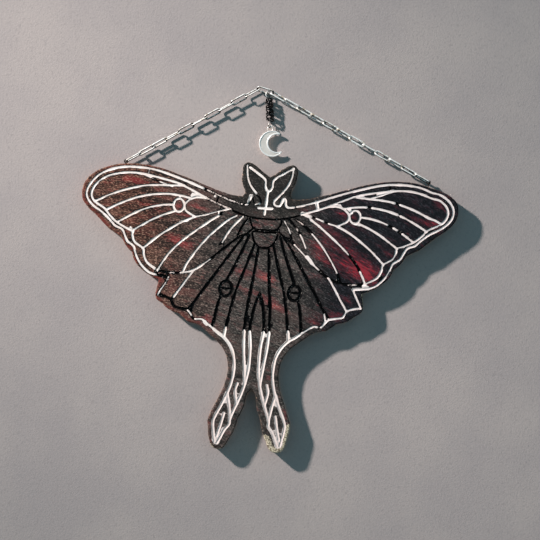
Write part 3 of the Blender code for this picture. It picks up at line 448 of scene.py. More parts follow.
# Brushed paint: black, brown and dark red dragged over the face down to the right, cream and black in the
# carving. Streaks are where the brush left red: X, Z, half length, half width, slope down and strength.
# Shades are broad places where the paint lies lighter, or darker where their strength is negative.
STREAKS = [
    (-110, -72.7, 11, 2.4, 18, 0.75), (-57, -94.7, 7, 2.4, 20, 0.7), (-67, -101.6, 9, 2, 20, 0.6),
    (-72.4, -122.8, 14, 3.2, 22, 0.85), (-99, -92, 14, 3, 18, 0.3), (-73.6, -78, 8, 2, 20, 0.35),
    (-73.4, -93.9, 3, 3, 0, 0.5), (-77, -145, 8, 2, 20, 0.35), (-120, -112, 9, 4, 30, 0.3),
    (-21, -147.5, 9, 3, 25, 0.7), (-2.4, -151.6, 9, 3.6, 28, 0.95), (5, -174.4, 12, 3, 28, 0.75),
    (-21, -162, 9, 2.4, 25, 0.4), (-50, -185, 5, 2.2, 25, 0.8), (-8.5, -109, 7, 1.5, 4, 0.5),
    (-8, -166, 8, 2, 28, 0.5), (53.7, -121.5, 18, 6, 36, 0.5), (77.3, -147.5, 14, 7, 34, 1.0),
    (66, -138, 26, 13, 36, 0.3), (47, -137, 16, 5, 38, 0.5), (132.6, -108.5, 9, 3, 14, 1.0),
    (140, -92, 5, 4, 40, 0.8), (60.2, -100.4, 5, 2.6, 30, 0.45), (68.3, -103.6, 2.8, 2.8, 0, 0.5),
    (115, -104, 8, 3, 25, 0.35), (98.4, -134, 9, 3, 32, 0.45), (53, -183, 7, 2.8, 10, 0.9),
    (36.6, -188.2, 7, 2.6, 20, 0.8), (64.3, -170.3, 6, 2, 30, 0.45), (40.7, -127, 5, 2.4, 35, 0.7),
    (28, -97, 12, 2.4, 4, 0.35), (-0.4, -233, 3, 2.4, 0, 0.6), (13.4, -264, 2.4, 4, 0, 0.5),
    (88, -165, 9, 3, -30, 0.7)]
SHADES = [
    (-93.5, -98, 16, 10, 10, -1.0), (-126, -107, 14, 10, 45, 0.9), (-96.8, -134.5, 9, 7, 30, 0.9),
    (-77, -170, 12, 10, 20, 1.0), (-45, -110, 12, 9, 15, -0.5), (-77, -128, 11, 6, 15, -0.5),
    (1, -125, 9, 7, 10, -0.9), (25, -121.5, 9, 7, 20, -0.5), (115, -98.7, 14, 8, 20, -0.6),
    (66, -158, 8, 6, 30, 0.4)]


def soft_ovals(x, z, ovals):
    """Sum of soft ovals: each falls off as the exponential of minus its scaled distance squared."""
    total = np.zeros(len(x))
    for at_x, at_z, long, wide, slope, strength in ovals:
        turn = math.radians(-slope)
        along = (x - at_x) * math.cos(turn) + (z - at_z) * math.sin(turn)
        beside = (z - at_z) * math.cos(turn) - (x - at_x) * math.sin(turn)
        total += strength * np.exp(-(along / long) ** 2 - (beside / wide) ** 2)
    return np.clip(total, -1.2, 1.2)


class Shade:
    """A shader socket that takes part in arithmetic. Each operation adds one Math node."""

    def __init__(self, tree, socket):
        self.tree, self.socket = tree, socket

    def node(self, kind, settings=None, out=0, **inputs):
        """Add a node: its settings first, then a value or a link for each named or numbered input."""
        made = self.tree.nodes.new(kind)
        for name, value in (settings or {}).items():
            setattr(made, name, value)
        for name, value in inputs.items():
            key = int(name[1:]) if name[1:].isdigit() else name.replace("_", " ")
            if isinstance(value, Shade):
                self.tree.links.new(value.socket, made.inputs[key])
            else:
                made.inputs[key].default_value = value
        return Shade(self.tree, made.outputs[out])

    def maths(self, operation, *values):
        """A Math node of one operation on these values."""
        inputs = {f"i{i}": value for i, value in enumerate(values)}
        return self.node("ShaderNodeMath", {"operation": operation}, **inputs)

    def __add__(self, other):
        return self.maths("ADD", self, other)

    def __sub__(self, other):
        return self.maths("SUBTRACT", self, other)

    def __rsub__(self, other):
        return self.maths("SUBTRACT", other, self)

    def __mul__(self, other):
        return self.maths("MULTIPLY", self, other)

    __radd__, __rmul__ = __add__, __mul__

    def ramp(self, low, high):
        """0 below low, 1 above high, and a smooth step between them."""
        return self.node("ShaderNodeMapRange", {"interpolation_type": "SMOOTHSTEP"}, i0=self, i1=low, i2=high)

    def noise(self, scale, detail=3.0, rough=0.55):
        """Noise read at this place, about 0 to 1."""
        return self.node("ShaderNodeTexNoise", Vector=self, Scale=scale, Detail=detail, Roughness=rough)

    def stretched(self, *scale):
        """This vector scaled, for a pattern that runs one way."""
        return self.node("ShaderNodeMapping", Vector=self, Scale=scale)

    def mixed(self, first, second):
        """One colour over another, with this as the factor."""
        return self.node("ShaderNodeMix", {"data_type": "RGBA"}, out=2, i0=self, i6=first, i7=second)


def new_finish(name, **constants):
    """A material with its Principled BSDF's own sockets set, its coordinates and a way to link sockets."""
    material = bpy.data.materials.new(name)
    material.use_nodes = True
    tree = material.node_tree
    shader = tree.nodes["Principled BSDF"]
    for key, value in constants.items():
        shader.inputs[key.replace("_", " ")].default_value = value
    place = Shade(tree, tree.nodes.new("ShaderNodeTexCoord").outputs["Object"])

    def feed(socket, shade):
        tree.links.new(shade.socket, shader.inputs[socket])

    return material, place, feed


def srgb(red, green, blue):
    """A display colour from 0 to 255 as the linear colour that a shader takes."""
    c = np.array([red, green, blue]) / 255
    return (*np.where(c < 0.04045, c / 12.92, ((c + 0.055) / 1.055) ** 2.4), 1.0)


def reading(place, name):
    """A number stored on the mesh's corners."""
    return place.node("ShaderNodeAttribute", {"attribute_name": name}, out=2)


def brushed_paint():
    """The board's finish. Stroke space is X along and Z plus a curve of X across, so strokes bend down to the
    right. Fine noise there gives bristle marks, and broad noise gives each brush load."""
    material, place, feed = new_finish("brushed_paint", IOR=1.45, Specular_IOR_Level=0.18)
    x, y, z = (place.node("ShaderNodeSeparateXYZ", out=i, Vector=place) for i in range(3))
    ink, cream, worn = (reading(place, n) for n in ("ink_gap", "cream_gap", "wear"))
    red, edge, rubbed, shade = (reading(place, n) for n in ("red", "edge_gap", "rubbed", "shade"))
    stroke = place.node("ShaderNodeCombineXYZ", X=x, Y=y, Z=z + x * 0.42 + x * x * 1.1)
    broad = stroke.stretched(14, 60, 80).noise(1.0, 2.0)
    load = stroke.stretched(70, 60, 330).noise(1.0, 3.0, 0.6)
    bristle = stroke.stretched(230, 400, 1300).noise(1.0, 3.0, 0.7)
    speck = stroke.stretched(560, 1000, 1500).noise(1.0, 2.0, 0.6)
    left, right = (x * -1).ramp(0.02, 0.115), x.ramp(0.012, 0.06)

    def by_side(left_colour, middle_colour, right_colour):
        """One paint load: brown on the left, charcoal in the middle and blue-black on the right."""
        return right.mixed(left.mixed(srgb(*middle_colour), srgb(*left_colour)), srgb(*right_colour))

    tone = bristle * 0.4 + load * 0.2 + speck * 0.4 + shade * 0.045
    face = tone.ramp(0.41, 0.59).mixed(by_side((27, 16, 13), (29, 26, 25), (12, 13, 17)),
                                       by_side((115, 77, 65), (102, 94, 89), (33, 35, 41)))
    deep = stroke.stretched(45, 60, 150).noise(1.0, 3.0, 0.6).ramp(0.48, 0.58) * 0.62
    face = deep.mixed(face, by_side((32, 24, 21), (33, 33, 32), (14, 16, 20)))
    warm = (broad * 0.6 + load * 0.4).ramp(0.5, 0.62) * 0.6
    face = warm.mixed(face, by_side((115, 53, 48), (80, 66, 62), (38, 27, 32)))
    maroon = (red + (load - 0.5) * 1.4 + (bristle - 0.5) * 1.5).ramp(0.1, 0.5)
    bright = (red + (load - 0.5) * 2.2 + (bristle - 0.5) * 2.6).ramp(0.62, 1.15)
    face = (maroon * 0.85).mixed(face, by_side((124, 45, 45), (108, 60, 60), (74, 33, 41)))
    face = (bright * 0.9).mixed(face, by_side((172, 68, 66), (166, 82, 78), (162, 46, 58)))
    head = (z.ramp(-0.112, -0.092) * (x * x).ramp(0.0016, 0.0008)) * 0.85
    face = head.mixed(face, srgb(30, 30, 28))
    light = (tone * 0.7 + speck * 0.6 + left * 0.015).ramp(0.71, 0.82) * 0.85 * (1 - head * 0.6)
    face = light.mixed(face, by_side((188, 146, 123), (146, 138, 130), (78, 78, 84)))
    rim = edge.ramp(0.0030, 0.0022) * left * (0.1 + load.ramp(0.36, 0.6) * 0.8)
    rim = rim * (0.3 + z.ramp(-0.07, -0.095) * 0.7)
    face = rim.mixed(face, srgb(112, 48, 43))
    chip = place.noise(620.0, 4.0, 0.7)
    chipped = edge.ramp(0.0010, 0.0004) * (chip + left * 0.04).ramp(0.56, 0.64) * 0.8
    face = chipped.mixed(face, srgb(176, 140, 116))
    ragged = place.noise(800.0, 4.0, 0.65) * 0.0009 - 0.00045
    ink_in = (ink + ragged).ramp(0.00010, -0.00008)
    lost = worn * chip.ramp(0.44, 0.53) + chip.ramp(0.70, 0.73)
    cream_in = (cream + ragged * 0.35).ramp(0.00006, -0.00006) * (1 - lost.ramp(0.3, 0.8))
    creams = place.noise(90.0, 3.0).ramp(0.35, 0.65).mixed(srgb(247, 230, 221), srgb(252, 242, 236))
    creams = (right * 0.5).mixed(creams, srgb(247, 229, 227))
    creams = (z.ramp(-0.19, -0.24) * 0.75).mixed(creams, srgb(230, 212, 206))
    creams = (worn * 0.45).mixed(creams, srgb(206, 172, 160))
    bare = (rubbed + chip * 1.7 - 0.85).ramp(0.38, 0.68)
    # Light specks in the black ink are painted glints.
    glint = place.noise(700.0, 2.0, 0.5).ramp(0.655, 0.70) * 0.7
    colour = ink_in.mixed(face, glint.mixed(srgb(7, 5, 5), srgb(186, 176, 170)))
    colour = bare.mixed(colour, speck.ramp(0.42, 0.56).mixed(srgb(104, 92, 76), srgb(232, 216, 188)))
    colour = cream_in.mixed(colour, creams)
    grain = place.stretched(9, 60, 190).noise(1.0, 5.0, 0.68)
    wood = grain.ramp(0.3, 0.7).mixed(srgb(134, 98, 66), srgb(184, 148, 108))
    colour = (y + (chip - 0.5) * 0.004).ramp(0.0032, 0.0036).mixed(colour, wood)
    feed("Base Color", colour)
    feed("Roughness", 0.7 - ink_in * (1 - cream_in) * 0.42 - cream_in * 0.15 - bright * 0.1)
    bumps = bristle * 0.6 + speck * 0.3 + ink_in * (chip * 1.6)
    height = cream_in * (place.noise(420.0, 2.0) * 1.2) + (1 - cream_in) * bumps
    feed("Normal", place.node("ShaderNodeBump", Height=height, Strength=0.5, Distance=0.00025))
    return material


def walls_between(rings):
    """Two triangles for each step round each pair of rings of corner numbers, facing away from the middle."""
    walls = []
    for near, beyond in zip(rings, rings[1:]):
        after, beyond_after = np.roll(near, -1), np.roll(beyond, -1)
        walls += [np.column_stack([after, near, beyond]), np.column_stack([after, beyond, beyond_after])]
    return np.vstack(walls)


def in_depth(flat, y):
    """Points of the wall's plane set at a depth."""
    return np.column_stack([flat[:, 0], np.broadcast_to(y, len(flat)), flat[:, 1]])


back_edge = outline + across(outline, closed=True) * BACK_ROUND
back_spots, back_triangles, back_rim = triangulated(back_edge, np.empty((0, 2)))
side_first, back_first = len(spots), len(spots) + len(outline)
corners = np.vstack([in_depth(spots, front_depth()), in_depth(outline, BACK_Y - BACK_ROUND),
                     in_depth(back_spots, BACK_Y)])
rings = [rim, side_first + np.arange(len(outline)), back_first + back_rim]
faces = np.vstack([triangles, walls_between(rings), back_first + back_triangles[:, ::-1]]).tolist()
board = new_piece("painted_board", corners, faces, brushed_paint(), sharp=60)
RUBBED_TIPS = [
    (1, [(34, -176), (32.5, -189), (25, -196.5), (17.6, -193), (14, -186)], 4.2),
    (-1, [(34.5, -178), (31.8, -190), (27, -195.6), (21, -196)], 0.5), (1, [(83.5, -62), (85.6, -72)], 0.3)]
rubbed = np.zeros(len(spots))
for side, points, reach in RUBBED_TIPS:
    gap, _ = gap_to_line(spots, on_wall(smooth_line(points, 1.0), side), reach)
    rubbed = np.maximum(rubbed, 1 - np.clip(gap / 2, 0, 1))
on_front = {
    "ink_gap": (ink_gap * MM, FAR * MM), "cream_gap": (cream_gap * MM, FAR * MM), "wear": (wear, 0.0),
    "edge_gap": (edge_gap * MM, 0.0016), "red": (soft_ovals(*spots.T, STREAKS), 0.0),
    "shade": (soft_ovals(*spots.T, SHADES), 0.0), "rubbed": (rubbed * 0.8, 0.0)}
for name, (there, elsewhere) in on_front.items():
    stored = board.data.attributes.new(name, "FLOAT", "POINT")
    behind = np.full(len(corners) - len(spots), elsewhere)
    stored.data.foreach_set("value", np.concatenate([there, behind]).astype(np.float32))
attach(board, "hanging")
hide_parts("moth_board")

# The chain: long links of silver-plated wire, 1 mm thick in the solids and a little more here, each closed by
# a butt seam in one of its rails. The top link rests on the nail, and a run goes from each of its ends to a
# screw eye in the wings' top edge.
LINK_LENGTH, LINK_WIDTH, WIRE, CLEARANCE = 14.6, 4.5, 1.0, 0.3
DRAWN_LONGER, DRAWN_WIDER, FIRST_THINNER = 0.2, 0.35, 0.3
TOP_LINK = ((-3.0, 0.9), -17.0, 36.0)
RUNS = {"left": (-1, 118.35, (1.75, -0.25), (60, 152, 70, 145, 78, 148, 65, 128, 38, 102)),
        "right": (1, 129.85, (-1.47, 0.46), (-48, 52, 138, 58, 150, 63, 160, 84, 150, 66, 135, 75))}
# Each link's own darkness: partly tarnish, partly a painted difference in how brightly it reflects.
LINK_SHEEN_AND_TARNISH = {"left": (0.0, 0.25, 0.1, 0.2, 0.05, 0.3, 0.1, 0.1, 0.1, 0.25),
           "right": (-0.38, -0.25, -0.2, -0.25, -0.1, -0.2, -0.35, -0.2, -0.1, -0.15, 0.0, 0.15)}
PLATED_WIRE = {"top": 1.3, "left": 1.35, "right": 1.5}
# Painted shade on silver sides: none past the first facing toward the light, full below the second.
LIGHT_WAY, FULL_LIGHT_AT, FULL_SHADE_AT, SHADE_STRENGTH = np.array([-0.1, -0.66, 0.74]), 0.72, 0.32, 0.85
SEAM_AT, SEAM_WIDTH, SEAM_DEEP = 0.6, 0.16, 0.16
EYE_RISE, CREST_STEPS = 2.0, 260


def turned(points, axis, degrees):
    """Points turned about the X, Y or Z axis through the origin, right-handed."""
    a, (i, j) = math.radians(degrees), {"X": (1, 2), "Y": (2, 0), "Z": (0, 1)}[axis]
    out = points.copy()
    out[:, i] = points[:, i] * math.cos(a) - points[:, j] * math.sin(a)
    out[:, j] = points[:, i] * math.sin(a) + points[:, j] * math.cos(a)
    return out


def grid_faces(rows, cols, closed):
    """Quads between rings of corners numbered in turn, the last ring joined to the first if closed."""
    row, col = np.meshgrid(np.arange(rows if closed else rows - 1), np.arange(cols), indexing="ij")
    here, after, beside = row * cols, (row + 1) % rows * cols, (col + 1) % cols
    return np.stack([here + col, here + beside, after + beside, after + col], axis=2).reshape(-1, 4).tolist()


def joined(shells):
    """Several shells as one: each shell's corner numbers run on from those of the shells before it."""
    points, faces = np.vstack([shell[0] for shell in shells]), []
    first = 0
    for corners, quads in shells:
        faces += [[corner + first for corner in face] for face in quads]
        first += len(corners)
    return points, faces


def swept_wire(line, radius, sides=16, closed=True):
    """Corners and faces of a round wire along a line that lies in the XZ plane: at each point a circle in the
    plane of the line's outward side and the Y axis. Rings are joined in turn, and open ends get a cap."""
    flat = np.column_stack([line[:, 0], line[:, 2]])
    out = -across(flat, closed)
    turn = np.linspace(0, 2 * np.pi, sides, endpoint=False)
    radius = np.broadcast_to(radius, len(line))[:, None]
    ring_x = line[:, :1] + radius * np.cos(turn) * out[:, :1]
    ring_y = line[:, 1:2] + radius * np.sin(turn)
    ring_z = line[:, 2:] + radius * np.cos(turn) * out[:, 1:]
    points = np.stack([ring_x, ring_y, ring_z], axis=2).reshape(-1, 3)
    caps = [list(range(sides))[::-1], list(range(len(points) - sides, len(points)))]
    return points, grid_faces(len(line), sides, closed) + ([] if closed else caps)


def racetrack(length, width, wire, step=0.35):
    """A link's centre line: two straight rails and two half circles, read at even steps."""
    bend = (width - wire) / 2
    straight = (length - wire) / 2 - bend
    end = around((straight, 0), bend, np.linspace(-np.pi / 2, np.pi / 2, 13))
    along = np.linspace(straight, -straight, round(2 * straight / step))[1:-1]
    rail = np.column_stack([along, np.full(len(along), bend)])
    return in_depth(np.vstack([end, rail, -end, -rail]), 0)


def solid_piece(name, points, faces, material, node, body, slot, sheen_and_tarnish=0.25):
    """A new piece that takes a CAD node's place and rides on its body, in the finish it is given; the slot
    it is passed is not used. It stays inside the solids' reach, and stores how dark each corner is painted:
    its sheen and tarnish, plus painted shade on sides turned down or to the wall, away from the light above
    and in front."""
    piece = new_piece(name, np.clip(points, reach_low, reach_high), faces, material)
    mesh = piece.data
    facing = np.empty(len(mesh.vertices) * 3)
    mesh.vertices.foreach_get("normal", facing)
    painted_shade = (FULL_LIGHT_AT - facing.reshape(-1, 3) @ LIGHT_WAY) / (FULL_LIGHT_AT - FULL_SHADE_AT)
    shade_and_tarnish = np.clip(painted_shade, 0, 1) * SHADE_STRENGTH + sheen_and_tarnish
    mesh.attributes.new("painted_shade_and_tarnish", "FLOAT", "POINT").data.foreach_set("value", shade_and_tarnish.astype(np.float32))
    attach(piece, body)
    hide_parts(node)


def chain_link(name, centre, slope, twist, sheen_and_tarnish, wire):
    """One link, turned about its own length, then laid along its slope in the wall's plane. At the butt seam
    in one rail its wire narrows like a bell curve."""
    line = racetrack(LINK_LENGTH + DRAWN_LONGER, LINK_WIDTH + DRAWN_WIDER, WIRE)
    seam = np.exp(-((line[:, 0] - SEAM_AT) / SEAM_WIDTH) ** 2) * (line[:, 2] < 0)
    points, faces = swept_wire(line, wire / 2 * (1 - SEAM_DEEP * seam))
    points = turned(turned(points, "X", twist), "Y", -slope) + (centre[0], 0, centre[1])
    solid_piece(f"silver_{name}", points, faces, silver, name, "hanging", "silver", sheen_and_tarnish)


def edge_height(distance):
    """Height of the wing's sawn top edge at a distance out, on the drawing. It is read up to a number of
    steps along the edge, and stays level past them."""
    top = smooth_line(FOREWING, 0.4)[:CREST_STEPS]
    return float(np.interp(distance, top[:, 0], top[:, 1]))


# Satin silver plate with brown tarnish in broad patches and fine scuffs in its gloss. Its sides turned down
# and to the wall are painted darker, as painted shade from the light above and in front, and each piece adds
# its own darkness, partly tarnish and partly a painted difference in how brightly it reflects.
silver, place, feed = new_finish("plated_silver", Metallic=0.2, IOR=1.9)
patch, scuff = place.noise(300.0, 3.0, 0.6), place.noise(1500.0, 3.0, 0.7)
shade_and_tarnish = (reading(place, "painted_shade_and_tarnish") + (patch - 0.5) * 1.2).ramp(0.2, 0.8)
plate_colour = patch.ramp(0.5, 0.68).mixed(srgb(255, 253, 248), srgb(196, 178, 152))
feed("Base Color", shade_and_tarnish.mixed(plate_colour, srgb(44, 34, 28)))
feed("Roughness", 0.24 + shade_and_tarnish * 0.15 + scuff * 0.12)
feed("Normal", place.node("ShaderNodeBump", Height=scuff, Strength=0.2, Distance=0.0001))
chain_link("top_link", *TOP_LINK, 0.12, PLATED_WIRE["top"])
top_centre, top_slope, _ = TOP_LINK
top_way = around((0, 0), 1, [math.radians(top_slope)])[0]
reach = LINK_LENGTH - WIRE
for run_name, (side, distance, hook, twists) in RUNS.items():
    start = np.array(top_centre) + side * top_way * reach / 2 + hook
    eye = on_wall(np.array([[side * distance, edge_height(distance) + EYE_RISE]]))[0]
    way = (eye - start) / np.linalg.norm(eye - start)
    slope = math.degrees(math.atan2(way[1], way[0]))
    for number, (twist, sheen_and_tarnish) in enumerate(zip(twists, LINK_SHEEN_AND_TARNISH[run_name])):
        middle = start + way * (reach / 2 + (reach - WIRE - CLEARANCE) * number)
        wire = PLATED_WIRE[run_name] - FIRST_THINNER * (number == 0)
        chain_link(f"{run_name}_link_{number + 1:02d}", middle, slope, twist, sheen_and_tarnish, wire)

# Two small screw eyes of blackened steel, screwed down into the top edge: a ring on a shank, whose thread
# is a cosine wave of its radius.
EYE_RADIUS, EYE_WIRE, EYE_SHANK, THREAD_PITCH, THREAD_TOP = 1.35, 0.9, 9.0, 0.7, -2.2


def wire_ring(radius, wire, steps=48):
    """A ring of round wire in the XZ plane."""
    circle = around((0, 0), radius, np.linspace(0, 2 * np.pi, steps, endpoint=False))
    return swept_wire(in_depth(circle, 0), wire / 2)


eye_steel, place, feed = new_finish("blackened_steel", Metallic=1.0)
rust = place.noise(700.0, 4.0, 0.6)
feed("Base Color", rust.ramp(0.5, 0.7).mixed(srgb(46, 42, 40), srgb(96, 70, 52)))
feed("Roughness", 0.32 + rust * 0.25)
for run_name, (side, distance, _, _) in RUNS.items():
    rise = edge_height(distance) + EYE_RISE
    down = np.linspace(-EYE_RADIUS, -EYE_RISE - EYE_SHANK, 70)
    thread = 1 - 0.12 * (1 + np.cos(down * 2 * np.pi / THREAD_PITCH)) * (down < THREAD_TOP)
    shank = swept_wire(np.column_stack([0 * down, 0 * down, down]), EYE_WIRE / 2 * thread, closed=False)
    points, faces = joined([wire_ring(EYE_RADIUS, EYE_WIRE, 40), shank])
    points = points + (side * distance + BODY_LEAN * rise, 0, rise)
    points = turned(points, "Y", math.degrees(BOARD_TURN)) + (BOARD_X, 0, BOARD_Z)
    name = f"eye_{run_name}"
    solid_piece(f"screw_{name}", points, faces, eye_steel, name, "hanging", "blackened_metal")

# The drop under the top link: a plain ring, a small tie ring in it, then a short rope chain of black wire
# rings. Each is threaded through the two before it, tilted and turned on, so they read as a twisted rope.
DROP_Y, ROPE_RINGS, ROPE_STEPS, ROPE_WIRE, RING_TILT, RING_TURN = 0.8, 14, 28, 1.15, 58.0, 99.0
ROPE_TOP, ROPE_FOOT = np.array([0.2, DROP_Y, -6.1]), np.array([1.0, DROP_Y, -23.4])
ROPE_RADIUS, TOP_RADIUS, TIE_DROP, TIE_TURN = 2.85, 2.4, 1.1, 115.0


def silver_ring(name, body, centre, radius, wire, turn, sheen_and_tarnish):
    """A plain ring of plated wire, turned about the upright, at a centre in X and Z."""
    points, faces = wire_ring(radius, wire)
    points = turned(points, "Z", turn) + (centre[0], DROP_Y, centre[1])
    solid_piece(f"silver_{name}", points, faces, silver, name, body, "silver", sheen_and_tarnish)


silver_ring("drop_ring", "drop", (0.0, -2.4), 2.95, 0.9, 35.0, -0.3)
black_wire, place, feed = new_finish("black_wire", Specular_IOR_Level=0.3)
# Light spots on the black wire are painted glints; the same noise also varies its gloss.
glint_and_gloss = place.noise(900.0, 3.0, 0.6)
feed("Base Color", glint_and_gloss.ramp(0.69, 0.75).mixed(srgb(9, 4, 4), srgb(200, 180, 166)))
feed("Roughness", 0.18 + glint_and_gloss * 0.2)
points, faces = wire_ring(2.1, 0.8, ROPE_STEPS)
rope = [(turned(points, "Z", TIE_TURN) + ROPE_TOP - (0, 0, TIE_DROP), faces)]
for number in range(ROPE_RINGS):
    points, faces = wire_ring(TOP_RADIUS if number < 2 else ROPE_RADIUS, ROPE_WIRE, ROPE_STEPS)
    points = turned(turned(points, "X", RING_TILT), "Z", RING_TURN * number)
    rope.append((points + ROPE_TOP + (ROPE_FOOT - ROPE_TOP) * (number + 0.5) / ROPE_RINGS, faces))
solid_piece("black_rope_chain", *joined(rope), black_wire, "rope_chain", "drop", "blackened_metal")

# The charm: a small ring and a crescent moon of pale, pearly silver, cast with a raised bright rim round a
# slightly dished face. Its bail is cast on at the top.
MOON_CENTRE, MOON_CUT, MOON_RADIUS, CUT_RADIUS = (2.5, -42.55), (6.6, -42.15), 10.75, 7.2
MOON_THICK, TIP_RADIUS, FRONT_EASE, BACK_EASE = 1.6, 0.75, 0.4, 0.3
RIM_WIDTH, RIM_FALL, DISH, DISH_FROM, DISH_FULL = 0.95, 0.35, 0.32, 1.6, 3.1
BAIL_CENTRE, BAIL_RADIUS, BAIL_WIRE = (1.0, -30.35), 2.1, 1.0
silver_ring("charm_ring", "charm", (1.0, -27.35), 2.1, 0.8, 48.0, 0.0)


def crescent_edges(steps=90):
    """The crescent's outer and inner edges, from the middle of one round tip to the middle of the other. Each
    is an arc about its own centre with a quarter of the tip's circle at both ends, read at even steps."""
    centre, cut = np.array(MOON_CENTRE), np.array(MOON_CUT)
    apart, lean = np.linalg.norm(cut - centre), math.atan2(*(cut - centre)[::-1])
    reach, cut_reach = MOON_RADIUS - TIP_RADIUS, CUT_RADIUS + TIP_RADIUS
    opening = math.acos((reach ** 2 + apart ** 2 - cut_reach ** 2) / (2 * reach * apart))
    edges = []
    for outer in (True, False):
        middle, radius = (centre, MOON_RADIUS) if outer else (cut, CUT_RADIUS)
        tips = around(centre, reach, [lean + opening, lean - opening])
        angles = [math.atan2(*(tip - middle)[::-1]) for tip in tips]
        sweep = np.linspace(0, (angles[1] - angles[0]) % (2 * np.pi), 200)
        arc = around(middle, radius, angles[0] + sweep)
        ends = []
        for tip, angle, way in zip(tips, angles, (-1, 1)):
            first = angle if outer else angle + math.pi
            bow = np.linspace(0, np.pi / 2, 8) * (way if outer else -way)
            ends.append(around(tip, TIP_RADIUS, first + bow))
        line = np.vstack([ends[0][::-1], arc[1:-1], ends[1]])
        run = np.concatenate([[0], np.cumsum(np.linalg.norm(np.diff(line, axis=0), axis=1))])
        at = (1 - np.cos(np.linspace(0, np.pi, steps))) / 2 * run[-1]
        edges.append(np.column_stack([np.interp(at, run, axis) for axis in line.T]))
    return edges


def crescent(across_steps=30):
    """The moon's front and back as one loop of shares across, carried from tip to tip. The front's height at
    a distance from the nearer edge is a small round, a raised rim, a soft step down and a dished face."""
    outer, inner = crescent_edges()
    middle = (outer[0] + inner[0]) / 2, (outer[-1] + inner[-1]) / 2
    outer[0], inner[0], outer[-1], inner[-1] = middle[0], middle[0], middle[1], middle[1]
    width = np.linalg.norm(outer - inner, axis=1)[:, None]
    share = (1 - np.cos(np.linspace(0, np.pi, across_steps))) / 2
    from_edge = np.minimum(share, 1 - share)[None] * width
    fall = np.clip((from_edge - RIM_WIDTH) / RIM_FALL, 0, 1)
    wide_enough = np.clip((width - DISH_FROM) / (DISH_FULL - DISH_FROM), 0, 1)
    dish = DISH * fall ** 2 * (3 - 2 * fall) * wide_enough
    front_y = DROP_Y - MOON_THICK / 2 + eased(from_edge, FRONT_EASE) + dish
    back_y = DROP_Y + MOON_THICK / 2 - eased(from_edge, BACK_EASE)
    flat = outer[:, None] * (1 - share[None, :, None]) + inner[:, None] * share[None, :, None]
    front = np.dstack([flat[..., 0], front_y, flat[..., 1]])
    back = np.dstack([flat[..., 0], back_y, flat[..., 1]])[:, ::-1]
    return np.concatenate([front, back], axis=1)


grid = crescent()
moon = grid.reshape(-1, 3), grid_faces(*grid.shape[:2], closed=False)
points, faces = wire_ring(BAIL_RADIUS, BAIL_WIRE)
bail = points + (BAIL_CENTRE[0], DROP_Y, BAIL_CENTRE[1]), faces
pearl, place, feed = new_finish("pearly_silver", Metallic=0.3, IOR=1.6)
cloud = place.noise(120.0, 3.0, 0.5)
raised = place.node("ShaderNodeSeparateXYZ", out="Y", Vector=place).ramp(0.00026, 0.0001)
face = cloud.ramp(0.3, 0.7).mixed(srgb(233, 224, 214), srgb(246, 238, 229))
feed("Base Color", raised.mixed(face, srgb(254, 252, 248)))
feed("Roughness", 0.26 + cloud * 0.16)
solid_piece("pearly_moon", *joined([moon, bail]), pearl, "moon_charm", "charm", "pearl_silver")

# The setting: a plain plaster wall just behind the board, a pale floor well below it, one soft key light from
# the upper left, a weak fill from the front, and a light behind the set, which the wall lets by. The camera
# looks level and straight at the wall.
WALL_Y, FLOOR_Z, WALL_TOP, WALL_SIDE, FLOOR_SIDE = 4.7, -850, 1200, 2000, 3000
wall_finish, place, feed = new_finish("plaster_wall", Roughness=0.9)
sand, blotch = place.noise(700.0, 4.0, 0.6), place.noise(14.0, 3.0)
plain = blotch.ramp(0.3, 0.7).mixed(srgb(172, 162, 160), srgb(181, 170, 166))
pocked = place.noise(480.0, 4.0, 0.7).ramp(0.5, 0.72) * 0.5
feed("Base Color", pocked.mixed(plain, srgb(150, 141, 140)))
feed("Normal", place.node("ShaderNodeBump", Height=sand, Strength=0.35, Distance=0.0006))
nodes = wall_finish.node_tree.nodes
plaster = Shade(place.tree, nodes["Principled BSDF"].outputs[0])
behind = place.node("ShaderNodeNewGeometry", out="Backfacing")
clear = place.node("ShaderNodeBsdfTransparent")
shown = place.node("ShaderNodeMixShader", i0=behind, i1=plaster, i2=clear)
place.tree.links.new(shown.socket, nodes["Material Output"].inputs["Surface"])
low_left, low_right = (-WALL_SIDE, WALL_Y, FLOOR_Z), (WALL_SIDE, WALL_Y, FLOOR_Z)
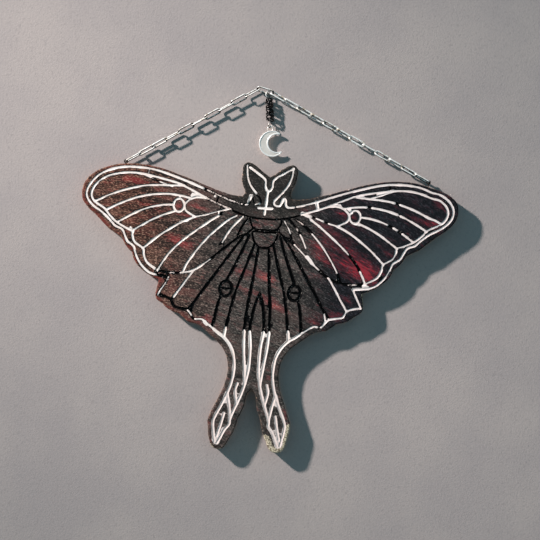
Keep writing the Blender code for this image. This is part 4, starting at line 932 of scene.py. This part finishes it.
corners = [low_left, low_right, (WALL_SIDE, WALL_Y, WALL_TOP), (-WALL_SIDE, WALL_Y, WALL_TOP)]
wall = new_piece("wall", corners, [(0, 1, 2, 3)], wall_finish)
wall.visible_shadow = False
floor_finish, place, feed = new_finish("pale_floor", Roughness=0.6)
feed("Base Color", place.noise(30.0).ramp(0.3, 0.7).mixed(srgb(214, 210, 205), srgb(222, 218, 213)))
corners = [(x * FLOOR_SIDE, y * FLOOR_SIDE, FLOOR_Z) for x, y in ((-1, -1), (1, -1), (1, 1), (-1, 1))]
new_piece("floor", corners, [(0, 1, 2, 3)], floor_finish)
MIDDLE = (0, 0, -0.14)


def area_light(name, place, size, power, colour, spread=180):
    """A square lamp that looks at the plaque's middle, with a grid in front that holds its light to a spread
    in degrees."""
    lamp = bpy.data.lights.new(name, "AREA")
    lamp.size, lamp.energy, lamp.color, lamp.spread = size, power, colour, math.radians(spread)
    lamp_object = bpy.data.objects.new(name, lamp)
    lamp_object.location = place
    x, y, z = np.array(MIDDLE) - place
    lamp_object.rotation_euler = (math.atan2(math.hypot(x, y), -z), 0, math.atan2(y, x) - math.pi / 2)
    bpy.context.scene.collection.objects.link(lamp_object)


area_light("key", (-1.6, -1.0, 1.12), 0.12, 4.0, (1.0, 0.93, 0.905), 40)
area_light("fill", (0.85, -1.7, 1.3), 0.7, 1.6, (0.9, 0.97, 1.0))
area_light("back", (0, 1.9, -0.1), 1.2, 22.0, (1.0, 0.98, 0.95))
world = bpy.data.worlds.new("studio")
world.use_nodes = True
sky = world.node_tree.nodes["Background"].inputs
sky["Color"].default_value, sky["Strength"].default_value = (0.34, 0.8, 1.0, 1), 0.25
bpy.context.scene.world = world
bpy.context.scene.view_settings.view_transform = "Standard"
camera = bpy.data.objects.new("camera", bpy.data.cameras.new("camera"))
camera.data.lens, camera.data.sensor_width = 98.4, 36.0
camera.data.clip_start = 0.05
camera.location = (0.0008, -1.2082, -0.1459)
camera.rotation_euler = (math.pi / 2, 0, 0)
bpy.context.scene.collection.objects.link(camera)
bpy.context.scene.camera = camera
